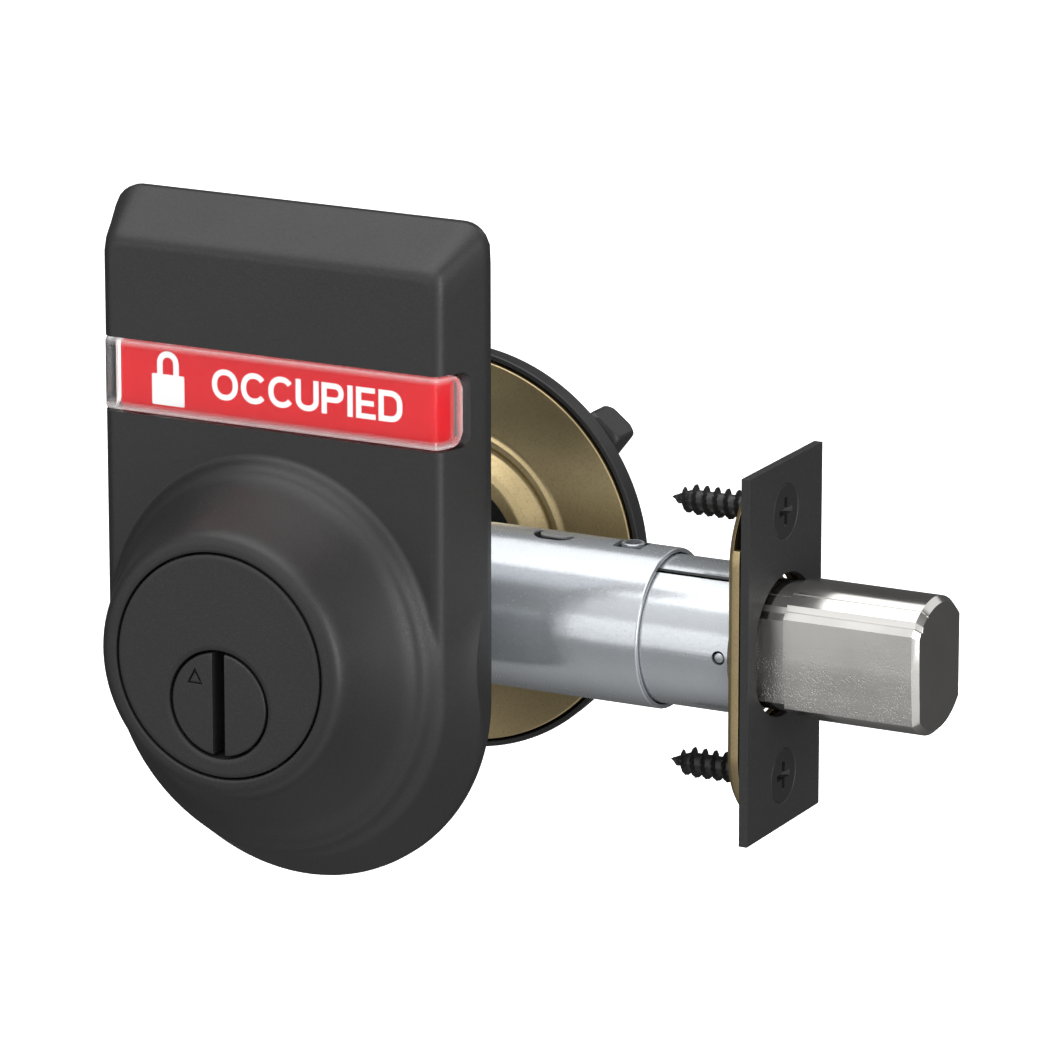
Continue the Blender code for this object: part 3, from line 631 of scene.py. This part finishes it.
def stroke(points, width, closed=False):
    """A ribbon of even width along a flat line, as outer and inner outlines or as one outline."""
    line = np.array(points, float)
    after = np.roll(line, -1, axis=0) - line
    if not closed:
        after[-1] = after[-2]
    after /= np.linalg.norm(after, axis=1)[:, None]
    before = np.roll(after, 1, axis=0)
    if not closed:
        before[0] = after[0]
    mean = before + after
    mean /= np.linalg.norm(mean, axis=1)[:, None]
    lean = np.maximum(0.35, (mean * before).sum(axis=1))
    out = np.stack([-mean[:, 1], mean[:, 0]], 1) * (width / 2 / lean)[:, None]
    sides = [line + out, line - out]
    return sides if closed else [np.concatenate([sides[0], sides[1][::-1]])]


LETTER_H = 4.8              # height of the capitals
PEN = 0.88                  # width of their strokes


def oval(centre, half_w, half_h, start, end, steps=28):
    """Points on a rounded oval, from one angle to another in degrees."""
    out = []
    for angle in np.radians(np.linspace(start, end, steps + 1)):
        c, s = math.cos(angle), math.sin(angle)
        out.append((centre[0] + half_w * math.copysign(abs(c) ** 0.92, c),
                    centre[1] + half_h * math.copysign(abs(s) ** 0.92, s)))
    return out


def letter(character):
    """Width and outlines of a bold sans capital, drawn with one pen width."""
    h, p = LETTER_H, PEN
    mid = h / 2
    if character == "O":
        return 4.5, stroke(oval((2.25, mid), 1.8, mid - p / 2, 0, 360)[:-1], p, True)
    if character == "C":
        return 4.2, stroke(oval((2.25, mid), 1.8, mid - p / 2, 38, 322), p)
    if character == "U":
        bend = oval((1.95, 1.75), 1.52, 1.75 - p / 2, 180, 360, 14)
        line = [(p / 2, h)] + bend + [(3.9 - p / 2, h)]
        return 3.9, stroke(line, p)
    if character == "P":
        outer = [(0, 0), (0, h)] + soften([(0, h), (3.75, h), (3.75, mid - 0.6), (p, mid - 0.6)],
                                          [0, 1.4, 1.4, 0], 8)[1:] + [(p, 0)]
        inner = soften([(p, h - p), (2.9, h - p), (2.9, mid + 0.22), (p, mid + 0.22)],
                       [0, 0.6, 0.6, 0], 6)
        return 3.9, [outer, inner]
    if character == "D":
        outer = soften([(0, 0), (0, h), (4.0, h), (4.0, 0)], [0, 0, 2.0, 2.0], 10, True)
        inner = soften([(p, p), (p, h - p), (4.0 - p, h - p), (4.0 - p, p)], [0, 0, 1.2, 1.2], 8, True)
        return 4.1, [outer, inner]
    if character == "I":
        return 0.95, [[(0, 0), (0, h), (p, h), (p, 0)]]
    if character == "E":
        bar = 0.8
        return 3.3, [[(0, 0), (0, h), (3.2, h), (3.2, h - bar), (p, h - bar), (p, mid + bar / 2),
                      (3.0, mid + bar / 2), (3.0, mid - bar / 2), (p, mid - bar / 2), (p, bar),
                      (3.3, bar), (3.3, 0)]]
    if character == "V":
        return 4.1, [[(0, h), (0.95, h), (2.05, 1.15), (3.15, h), (4.1, h), (2.53, 0), (1.57, 0)]]
    if character == "A":
        outer = [(0, 0), (1.57, h), (2.53, h), (4.1, 0), (3.15, 0), (2.84, 0.95), (1.26, 0.95),
                 (0.95, 0)]
        return 4.1, [outer, [(1.52, 1.7), (2.58, 1.7), (2.05, 3.45)]]
    if character == "N":
        return 3.8, [[(0, 0), (0, h), (0.95, h), (2.95, 1.55), (2.95, h), (3.8, h), (3.8, 0), (2.85, 0),
                      (0.85, 3.05), (0.85, 0)]]
    return 3.7, [[(0, h), (3.7, h), (3.7, h - 0.8), (2.29, h - 0.8), (2.29, 0), (1.41, 0),
                  (1.41, h - 0.8), (0, h - 0.8)]]


def flat_shapes(name, outlines, y, thickness):
    """Printed shapes on the front of a panel: filled outlines in x and z, holes left open."""
    curve = bpy.data.curves.new(name, "CURVE")
    curve.dimensions = "2D"
    curve.fill_mode = "BOTH"
    curve.extrude = thickness * MM / 2
    for outline in outlines:
        spline = curve.splines.new("POLY")
        spline.points.add(len(outline) - 1)
        for point, (x, z) in zip(spline.points, outline):
            point.co = (x * MM, z * MM, 0, 1)
        spline.use_cyclic_u = True
    holder = linked(name, curve)
    bpy.context.view_layer.update()
    evaluated = holder.evaluated_get(bpy.context.evaluated_depsgraph_get())
    mesh = bpy.data.meshes.new_from_object(evaluated)
    bpy.data.objects.remove(holder)
    upright = Matrix.Rotation(math.pi / 2, 4, "X")
    mesh.transform(Matrix.Translation((0, (y - thickness / 2) * MM, 0)) @ upright)
    bm = bmesh.new()
    bm.from_mesh(mesh)
    bmesh.ops.remove_doubles(bm, verts=bm.verts, dist=1e-7)
    bmesh.ops.recalc_face_normals(bm, faces=bm.faces)
    bm.to_mesh(mesh)
    bm.free()
    return linked(name, mesh)


def word(text, x, z, width):
    """Outlines of a word whose letters spread evenly from x over a width."""
    letters = [letter(c) for c in text]
    gap = (width - sum(w for w, _ in letters)) / (len(text) - 1)
    outlines = []
    for w, shapes in letters:
        outlines += [[(x + px, z + pz) for px, pz in shape] for shape in shapes]
        x += w + gap
    return outlines


def padlock(x, z, lift):
    """A padlock: a solid body and a shackle, one foot of it lifted clear when open."""
    half, tall = 2.8, 4.8
    body = soften([(x - half, z), (x - half, z + tall), (x + half, z + tall), (x + half, z)],
                  0.2, 3, True)
    feet = z + 4.75 + lift
    bow = [(x - 1.4, z + 4.75)] + arc((x, feet + 1.8), 1.4, 180, 0, 14) + [(x + 1.4, feet)]
    return [body] + stroke(bow, 0.95)


PANEL_GAP = 0.45            # from the lens's inside to the panels
PRINT_T = 0.06


def make_window():
    """The lens and the two panels behind it, each with its word and padlock."""
    z = (LENS_LOW[2], LENS_HIGH[2])
    lens = strip("window_lens_clear", 0.0, WALL, LENS_BACK, z, 1.9, 1.5, 0.45)
    place(lens, "lock", "clear", "window_lens", sharp=40)
    words = {"occupied_panel": ("OCCUPIED", "red", -10.9, 32.6, 0.0),
             "vacant_panel": ("VACANT", "green", -8.9, 26.4, 0.7)}
    for node, (text, mat, start, width, lift) in words.items():
        low, high = box_mm(node)
        panel = strip(f"{node}_sheet", WALL + PANEL_GAP, 0.6, 5.6, (low[2], high[2]), 0.3, 1.1, 0.08)
        place(panel, "indicator", mat, node)
        middle = (low[2] + high[2]) / 2
        outlines = word(text, start, middle - LETTER_H / 2, width)
        outlines += padlock(-18.5, middle - 4.35, lift)
        front = depth(PANEL_DEPTH - WALL - PANEL_GAP)
        marks = flat_shapes(f"{node}_print", outlines, front, PRINT_T)
        place(marks, "indicator", "print")


# --- Cylinder and coin plug ---

def make_housing():
    """Cylinder housing: a round face whose bore for the plug lies off its centre."""
    a = np.linspace(0, 2 * math.pi, 128, endpoint=False)
    hole = PLUG_R + 0.38
    outside = [(15.0, 9.0), (15.0, 19.6), (18.2, 19.6), (18.2, 24.2), (DISC_R, 24.2),
               (DISC_R, BOSS_DEPTH - 0.3), (DISC_R - 0.08, BOSS_DEPTH - 0.1),
               (DISC_R - 0.3, BOSS_DEPTH), (DISC_R - 0.8, BOSS_DEPTH)]
    inside = [(hole + 0.9, BOSS_DEPTH), (hole + 0.35, BOSS_DEPTH), (hole + 0.1, BOSS_DEPTH - 0.1),
              (hole, BOSS_DEPTH - 0.35), (hole, 23.2), (7.5, 23.2), (7.5, 9.0)]
    rings = [circle(a, *at) for at in outside] + [circle(a, *at, TURN_Z) for at in inside]
    place(skin("cylinder_face", rings, closed=True), "lock", "black", "cylinder_housing", sharp=40)


def make_plug():
    """Coin plug: a wide slot and a small triangle sunk into the face."""
    profile = soften([(depth(8.9), 0), (depth(8.9), 7.2), (depth(23.6), 7.2), (depth(24.3), PLUG_R),
                      (depth(BOSS_DEPTH), PLUG_R), (depth(BOSS_DEPTH), 0)], [0, 0, 0, 0, 0.35, 0], 4)
    plug = turned("coin_plug_turned", [(y, max(r, 0.01)) for y, r in profile], "Y", (0, TURN_Z), 112)
    slot = slab("slot", (-1.05, 1.05), (depth(30), depth(23.2)), (TURN_Z - 10, TURN_Z + 10))
    base, height, at = 1.9, 1.75, (-4.0, 3.1 + TURN_Z)
    outer = [(at[0] - base / 2 - 0.38, at[1] - 0.3), (at[0] + base / 2 + 0.38, at[1] - 0.3),
             (at[0], at[1] + height + 0.45)]
    mark = prism("mark", outer, "Y", depth(30), depth(BOSS_DEPTH - 0.6))
    inner = [(at[0] - base / 2 + 0.14, at[1] + 0.06), (at[0] + base / 2 - 0.14, at[1] + 0.06),
             (at[0], at[1] + height - 0.27)]
    combine(mark, [prism("mark_inside", inner, "Y", depth(31), depth(20))])
    combine(plug, [slot, mark])
    bevelled(plug, 0.12)
    place(plug, "turn", "black", "coin_plug")


# --- Latch ---

UNDER_TUBE = 11.5           # radius just under the rolled tube's wall


def make_tube():
    """Rolled tube with its cross hole, a U-shaped lance and a stud; near-black pieces just under its wall are
    painted shade where one sees inside.
    """
    outer, wall = TUBE_HIGH[2], 0.7
    front, rear = TUBE_HIGH[0], TUBE_LOW[0]
    lip = SLEEVE_HIGH[2] + 0.25
    profile = ([(rear, outer - wall), (rear, outer - 0.15), (rear + 0.15, outer), (20.0, outer),
                (40.0, outer)]
               + soften([(48.0, outer), (front, outer), (front, lip), (front - 0.8, lip)],
                        [0, 0.62, 0.1, 0], 5)
               + [(front - 0.8, outer - wall)])
    tube = turned("latch_tube_rolled", profile, "X", (0, 0), 128, closed=True)
    cross = rod("Y", -14, 14, 5.3, (0, TURN_Z), 48)
    rear_slot = slab("rear_slot", (-21, 18.8), (-3.0, 5.2), (2, 14))
    lanced = arc((30.1, 0.0), 1.95, 150, 270, 14) + arc((32.3, 0.0), 1.95, 270, 350, 12)
    lance = prism("lance", stroke(lanced, 1.05)[0], "Z", 8, 14)
    opening = soften([(41.6, -1.75), (46.3, -1.75), (46.3, 3.4), (41.6, 3.4)], 0.3, 3, True)
    window = prism("stud_window", opening, "Z", 8, 14)
    combine(tube, [cross, rear_slot, lance, window])
    place(tube, "lock", "zinc", "latch_tube", sharp=30)
    # Painted shade: a near-black ring under the wall behind the lance and the stud window, a U under the lance and
    # a plate under the stud stand in for the shade inside the tube
    start, end, low = 22.0, SLEEVE_LOW[0] - 0.4, UNDER_TUBE + 0.05
    inside_shade = [(start, 10.95), (start, UNDER_TUBE), (end, UNDER_TUBE), (end, 10.95)]
    dark = [turned("latch_tube_inside_painted_shade", inside_shade, "X", (0, 0), 96, closed=True),
            prism("latch_tube_lance_shade", stroke(lanced, 0.95)[0], "Z", low, low + 0.5),
            slab("latch_tube_stud_painted_shade", (41.7, 46.2), (-1.65, 3.2), (low, low + 0.25))]
    for piece in dark:
        place(piece, "lock", "painted_shade_black")
    ring = soften([(low, 1.3), (low, 1.8), (12.5, 1.8), (12.5, 1.3)], [0, 0, 0.2, 0.2], 4)
    stud = turned("latch_tube_stud", ring, "Z", (43.9, 0.8), 40, closed=True)
    place(stud, "lock", "zinc")


PIN_X = 64.2                # guide pin, on the side towards the outside


def make_sleeve():
    """Sleeve in the tube's front, slit along, with the guide pin in its hole."""
    outer, wall = SLEEVE_HIGH[2], 0.5
    low, high = SLEEVE_LOW[0], SLEEVE_HIGH[0]
    profile = [(low, outer - wall), (low, outer), (high, outer), (high, outer - wall)]
    sleeve = turned("bolt_sleeve_rolled", profile, "X", (0, 0), 128, closed=True)
    cutters = []
    for angle, start in ((24.7, low - 1), (159.0, 60.0)):
        cutter = slab("slit", (start, high + 1), (-0.5, 0.5), (9, 13))
        cutter.data.transform(Matrix.Rotation(math.radians(angle), 4, "X"))
        cutters.append(cutter)
    cutters.append(rod("Y", -13, -9, 1.1, (PIN_X, 0.0), 32))
    combine(sleeve, cutters)
    place(sleeve, "lock", "zinc", "bolt_sleeve", sharp=30)
    pin_line = soften([(-8.3, 0.01), (-8.3, 0.8), (-11.35, 0.8), (-11.35, 0.01)], [0, 0, 0.3, 0], 4)
    pin = turned("guide_pin_rivet", pin_line, "Y", (PIN_X, 0.0), 32)
    place(pin, "lock", "steel", "guide_pin")


def bolt_outline():
    """Bolt section in y and z: round with two flats, the near one a raised pad with a ledge on top."""
    radius, flat = BOLT_HIGH[2], BOLT_HIGH[1]
    line_at = 115.5             # degrees round to the fine line along the top
    side = math.degrees(math.acos(flat / radius))
    near = [(-7.5, -6.9), (-7.62, -5.0), (-7.78, -3.2), (-7.92, -1.4), (-flat, 0.6), (-flat, 6.35),
            (-7.35, 7.35), (-6.8, 7.35), (-6.6, 8.2)]
    near += arc((0, 0), radius, 128.5, line_at + 1.2, 8)
    groove = math.radians(line_at + 0.6)
    near += [(math.cos(groove) * (radius - 0.25), math.sin(groove) * (radius - 0.25))]
    upper = arc((0, 0), radius, line_at, side, 32)
    lower = arc((0, 0), radius, 360 - side, 180 + 46.5, 40)
    return near + upper + lower


PAD_X = 73.2                # behind this the bolt is a slightly thinner neck
NECK = 0.7


def make_bolt():
    """Cast bolt head with a chamfered end, bored for the pin and slotted for the drive bar."""
    end = BOLT_HIGH[0]
    line = [np.array(p, float) for p in bolt_outline()]
    rings = []
    for x, inset in ((BOLT_LOW[0], NECK), (PAD_X - 0.1, NECK), (PAD_X + 0.1, 0.0),
                     (end - 0.95, 0.0), (end - 0.03, 0.88), (end, 0.95)):
        scale = [1 - inset / np.linalg.norm(p) for p in line]
        rings.append([(x, p[0] * s, p[1] * s) for p, s in zip(line, scale)])
    bolt = skin("bolt_head_cast", rings)
    bore = rod("X", 50, 83.8, 3.3, (0, -4.6))
    notch = slab("bar_notch", (50, 64), (1.3, 3.5), (1.2, 6.8))
    rivet = rod("Y", -12, 12, 1.3, (60.0, 4.0), 24)
    combine(bolt, [bore, notch, rivet])
    place(bolt, "bolt", "nickel", "bolt_head", sharp=24)


def make_faceplate():
    """Faceplate: the bolt's hole, a round recess around it and two countersunk holes."""
    x = (FACE_LOW[0], FACE_HIGH[0])
    plate = slab("faceplate_sheet", x, (FACE_LOW[1], FACE_HIGH[1]), (FACE_LOW[2], FACE_HIGH[2]))
    radius, flat = BOLT_HIGH[2] + 0.45, BOLT_HIGH[1] + 0.3
    side = math.degrees(math.acos(flat / radius))
    hole = [point for start in (side, 180 + side)
            for point in arc((0, 0), radius, start, start + 180 - 2 * side, 32)]
    cutters = [prism("bolt_hole", hole, "X", x[0] - 1, x[1] + 1),
               rod("X", x[0] + 0.6, x[1] + 1, radius - 0.05, segments=112)]
    for z in (SCREW_Z, -SCREW_Z):
        cone = [(x[0] - 1, 2.3), (x[0] + 0.15, 3.0), (x[1] + 0.1, 4.5)]
        cutters.append(turned("countersink", cone, "X", (0, z), 56))
    combine(plate, cutters)
    bevelled(plate, 0.16, 3)
    place(plate, "lock", "black_face", "faceplate")


def make_backplate():
    """Pressed dish behind the faceplate, with rounded ends."""
    back, front = box_mm("latch_backplate")[0][0], FACE_LOW[0] - 0.3
    half, straight, rim = box_mm("latch_backplate")[1][1], 14.6, 0.9

    def stadium(x, inset):
        radius = half - inset
        line = arc((0, straight), radius, 0, 180, 40) + arc((0, -straight), radius, 180, 360, 40)
        return [(x, y, z) for y, z in line]

    rings = [stadium(back, 1.1), stadium(back + 0.12, 0.65), stadium(back + 0.45, 0.25),
             stadium(back + 1.0, 0.0), stadium(front, 0.0), stadium(front, rim),
             stadium(back + 1.1, rim), stadium(back + 0.9, rim + 0.25)]
    plate = skin("latch_backplate_pressed", rings)
    cutters = [slab("sheet_gap", (back + 1.0, front + 1.0), (-14, 14), (17.2, 30)),
               rod("X", back - 1, front + 1, SLEEVE_HIGH[2] + 0.1, segments=96)]
    for z in (SCREW_Z, -SCREW_Z):
        cutters.append(rod("X", back - 1, front + 1, 2.7, (0, z)))
    combine(plate, cutters)
    bevelled(plate, 0.1, 2, 40)
    place(plate, "lock", "brass", "latch_backplate")


def recess_cutter(x, z, reach, width):
    """A tapered cross for a screw's drive, cut from +X."""
    blades = []
    for axis in (0, 1):
        rings = []
        for at, share in ((x + 0.6, 1.25), (x - 1.0, 0.72), (x - 2.0, 0.12)):
            long, thin = reach * share, width * (0.6 + 0.4 * share) / 2
            size = (thin, long) if axis else (long, thin)
            rings.append([(at, sy * size[0], z + sz * size[1])
                          for sy, sz in ((-1, -1), (1, -1), (1, 1), (-1, 1))])
        blades.append(skin("blade", rings))
    return blades


def make_wood_screws():
    """Flat-head wood screws with a real helical thread that fades into the point."""
    pitch, core, crest = 1.78, 1.5, 2.4
    neck = 4.4                  # where the thread ends, back from the head's face
    head = FACE_HIGH[0] - 0.05
    tip = box_mm("wood_screw_upper")[0][0]
    steps = 40
    a = np.linspace(0, 2 * math.pi, steps, endpoint=False)
    for name, z in (("wood_screw_upper", SCREW_Z), ("wood_screw_lower", -SCREW_Z)):
        rings = [[(tip + 0.02, 0.05 * math.cos(t), z + 0.05 * math.sin(t)) for t in a]]
        for x in np.arange(tip + 0.2, head - neck, pitch / 12):
            taper = min(1.0, (x - tip) / 3.4)
            fade = min(1.0, (x - tip) / 2.2) * min(1.0, (head - neck - x) / 1.2)
            phase = (x / pitch - a / (2 * math.pi)) % 1.0
            ridge = np.clip(1 - np.abs(phase - 0.5) / 0.2, 0, 1) ** 0.8
            r = core * taper ** 0.85 + (crest - core) * ridge * fade * min(1.0, 0.35 + taper)
            rings.append([(x, ri * math.cos(t), z + ri * math.sin(t)) for ri, t in zip(r, a)])
        for x, r in ((head - 4.2, 1.55), (head - 3.4, 1.75), (head - 2.6, 2.15), (head - 1.5, 2.75),
                     (head - 0.28, 4.05), (head - 0.1, 4.2), (head, 4.12)):
            rings.append([(x, r * math.cos(t), z + r * math.sin(t)) for t in a])
        screw = skin(f"{name}_threaded", rings)
        combine(screw, recess_cutter(head, z, 2.1, 0.95))
        place(screw, "lock", "black_screw", name, sharp=40)


# --- Inside trim ---

def make_mounting_plate():
    """Pressed disc behind the rose: two steps round a middle that dips into the bore."""
    face = INNER_FACE
    line = [(face, 31.4), (face, 20.2), (face - 0.6, 19.5), (face - 0.6, 18.7), (face - 0.1, 17.9),
            (face - 2.2, 15.6), (face - 3.0, 14.6), (face - 3.0, 12.6), (face - 2.1, 12.6),
            (face - 2.1, 13.9), (face - 1.4, 14.9), (face + 1.0, 17.6), (face + 1.5, 18.6),
            (face + 1.5, 31.4)]
    radii = [0.3, 1.0, 0.35, 0.35, 0.8, 1.2, 0.7, 0.2, 0.2, 0.8, 0.8, 0.8, 0.6, 0.3]
    profile = soften(line, radii, 5, True)
    plate = turned("mounting_plate_pressed", profile, "Y", (0, 0), 144, closed=True)
    combine(plate, [rod("Y", face - 2.2, face + 3.3, 2.5, (0.0, z)) for z in (POST_Z, -POST_Z)])
    place(plate, "lock", "brass", "mounting_plate", sharp=40)


def make_rose():
    """Cast rose: a shallow dish with a collar round the turn lever's hub."""
    face = INNER_FACE
    rim = ROSE_HIGH[0]
    outer = [(face + 0.3, rim), (face + 3.9, rim - 0.25), (face + 5.5, rim - 1.6), (face + 6.3, 22.0),
             (face + 6.7, 12.0), (face + 6.9, 0.3)]
    inner = [(face + 5.1, 0.3), (face + 5.0, 12.0), (face + 4.2, 22.0), (face + 3.4, 31.0),
             (face + 1.9, 31.8), (face + 0.3, 31.8)]
    profile = soften(outer + inner, [0.25, 1.2, 1.5, 6, 3, 0, 0, 0, 0, 0.5, 0, 0.2], 5, True)
    rose = turned("rose_cast", profile, "Y", (0, 0), 160, closed=True)
    front = ROSE_HIGH[1]
    collar_line = soften([(face + 5.6, 6.6), (face + 5.6, 9.6), (front, 9.6), (front, 6.6)],
                         [0, 0, 0.5, 0.3], 4)
    collar = turned("collar", collar_line, "Y", (0, TURN_Z), 72, closed=True)
    combine(rose, [rod("Y", face, face + 12, 9.55, (0, TURN_Z), 72)])
    rose = join("rose_cast", [rose, collar])
    place(rose, "lock", "black", "rose", sharp=38)


LEVER_TOP, LEVER_FOOT = 32.2, -11.5     # reach of the grip from the hub's centre
LEVER_TILT = 38.5                       # degrees from upright


def make_lever():
    """Turn lever: a domed hub and an upright grip that leans towards the bolt."""
    face = INNER_FACE
    hub_line = soften([(face + 9.0, 0.01), (face + 9.0, 9.0), (face + 11.3, 9.0), (face + 15.2, 6.6),
                       (face + 17.0, 3.0), (face + 17.2, 0.01)], [0, 0.4, 1.4, 3, 2, 0], 6)
    hub = turned("turn_lever_cast", hub_line, "Y", (0, TURN_Z), 80)
    top, foot = LEVER_TOP, LEVER_FOOT
    near = np.array([(foot, 10.3), (-10.4, 9.6), (2.0, 9.6), (9.0, 9.8), (18.0, 10.9), (27.0, 12.4),
                     (31.0, 13.1), (top, 13.7)])
    far = np.array([(foot, 15.6), (-10.6, 17.0), (-7.0, 19.0), (-3.0, 20.3), (2.0, 20.6),
                    (9.0, 20.6), (18.0, 20.5), (27.0, 20.25), (31.2, 20.05), (top, 19.4)])
    wide = np.array([(foot, 2.6), (-4, 3.5), (4, 3.7), (20, 3.4), (top, 3.35)])
    stations = np.concatenate([[foot, -11.2, -10.6, -9.5], np.linspace(-8, 28, 19),
                               [29.5, 30.8, 31.5, 31.9, top]])
    rings = []
    for s in stations:
        low = np.interp(s, *near.T)
        high = np.interp(s, *far.T)
        end = min(1.0, max(0.0, min(s - foot, top - s)) / 0.9)
        half = np.interp(s, *wide.T) - 0.8 * (1 - end) ** 2
        section = soften([(-half, low), (half, low), (half, high), (-half, high)], 1.15, 4, True)
        rings.append([(x, face + d, s) for x, d in section])
    grip = skin("grip", rings)
    tilt = Matrix.Rotation(math.radians(LEVER_TILT), 4, "Y")
    grip.data.transform(Matrix.Translation((0, 0, TURN_Z * MM)) @ tilt)
    combine(hub, [grip], "UNION")
    combine(hub, [rod("Y", face + 8.0, face + 13.4, 4.3, (0, TURN_Z))])
    bevelled(hub, 0.35, 3, 40)
    place(hub, "turn", "black", "turn_lever", sharp=40)


# --- Pieces kept from the CAD model ---

KEPT = {
    "steel": ["plug_retainer", *(f"cover_screw_{number}" for number in range(1, 5)),
              "mounting_post_upper", "mounting_post_lower", "anti_saw_pin", "drive_bar",
              "drive_rivet", "crank", "tailpiece", "turn_spindle", "spring_washer",
              "mounting_screw_upper", "mounting_screw_lower"],
    "zinc": ["back_cover"],
    "bronze": ["hub_bush_outside", "hub_bush_inside"],
    "nylon": ["indicator_slide", "drive_gear"],
}


def finish_kept():
    """CAD pieces whose shape is right: eased edges and a real finish."""
    for mat, nodes in KEPT.items():
        for node in nodes:
            obj = frame["nodes"][node]
            obj.data.materials.clear()
            obj.data.materials.append(MATS[mat])
            weld = obj.modifiers.new("weld", "WELD")
            weld.merge_threshold = 1e-6
            bevelled(obj, 0.12, 2, 35)
            normals = obj.modifiers.new("normals", "WEIGHTED_NORMAL")
            normals.keep_sharp = True


# --- Studio ---

CAMERA_AT = (511.4, -938.6, 302.1)
CAMERA_AZIMUTH, CAMERA_ELEVATION = 27.33, 15.32
LENS = 244.5
AIM = (0.02, 0.0, 0.01)     # metres; where the soft boxes point
FLOOR_Z = -0.36
SKY_BASE = 0.09
# Strength, sharpness and direction of each pale part of the surround
SKY_LOBES = ((0.5, 4.0, (0.1, -0.4, -0.9)), (0.8, 2.0, (0.9, -0.5, 0.1)),
             (1.15, 4.0, (-0.15, -0.65, 0.65)))
# Name, size, radiance and place of each soft box, in metres
SOFT_BOXES = (
    ("top_box", (2.0, 1.7), 1.9, (-0.1, 0.0, 1.4)),
    ("front_box", (1.1, 0.9), 1.1, (-0.75, -1.45, 0.05)),
    ("right_box", (0.8, 1.1), 3.4, (1.5, -0.45, 0.2)),
    ("rear_box", (1.2, 0.7), 0.9, (0.7, 1.3, 0.9)),
)


def make_camera():
    azimuth, elevation = math.radians(CAMERA_AZIMUTH), math.radians(CAMERA_ELEVATION)
    data = bpy.data.cameras.new("camera")
    data.lens = LENS
    data.sensor_width = 36.0
    data.clip_start, data.clip_end = 0.05, 20.0
    camera = linked("camera", data)
    camera.location = Vector(CAMERA_AT) * MM
    camera.rotation_euler = (math.pi / 2 - elevation, 0.0, azimuth)
    bpy.context.scene.camera = camera


def make_surround():
    """White floor and backdrop that only the camera sees, so they don't brighten the undersides."""
    bpy.ops.mesh.primitive_plane_add(size=14.0, location=(0, 0, FLOOR_Z))
    floor = bpy.context.object
    floor.name = "floor"
    bpy.ops.mesh.primitive_cylinder_add(vertices=64, radius=6.9, depth=14.0, end_fill_type="NOTHING")
    backdrop = bpy.context.object
    backdrop.name = "backdrop"
    n = Nodes(bpy.data.materials.new("floor_paint"))
    n.shade(Base_Color=n.blend(n.noise(3.0), tinted(WHITE[:3], 0.86), tinted(WHITE[:3], 0.9)),
            Roughness=0.9, Emission_Color=WHITE, Emission_Strength=1.0)
    for staged in (floor, backdrop):
        staged.data.materials.append(n.owner)
        staged.visible_diffuse = False
        staged.visible_glossy = False
        staged.visible_shadow = False


def make_sky():
    """A dim surround with a few broad pale parts."""
    world = bpy.data.worlds.new("studio")
    n = Nodes(world, "Background", "Generated")
    glow = SKY_BASE
    for strength, sharpness, towards in SKY_LOBES:
        along = n.add("ShaderNodeVectorMath", {0: n.coords, 1: Vector(towards).normalized()},
                      operation="DOT_PRODUCT").outputs["Value"]
        lobe = n.math("POWER", n.math("MAXIMUM", along, 0.0), sharpness)
        glow = n.math("ADD", n.math("MULTIPLY", lobe, strength), glow)
    n.shade(Color=WHITE, Strength=glow)
    bpy.context.scene.world = world


def make_soft_boxes():
    for name, size, radiance, location in SOFT_BOXES:
        data = bpy.data.lights.new(name, "AREA")
        data.shape = "RECTANGLE"
        data.size, data.size_y = size
        data.energy = radiance * math.pi * size[0] * size[1]
        light = linked(name, data)
        light.location = location
        away = Vector(location) - Vector(AIM)
        light.rotation_euler = away.to_track_quat("Z", "Y").to_euler()


def main():
    for make in (make_escutcheon, make_window, make_housing, make_plug, make_tube, make_sleeve,
                 make_bolt, make_faceplate, make_backplate, make_wood_screws,
                 make_mounting_plate, make_rose, make_lever, finish_kept, make_camera,
                 make_surround, make_sky, make_soft_boxes):
        make()
    bpy.context.scene.view_settings.view_transform = "Standard"


main()
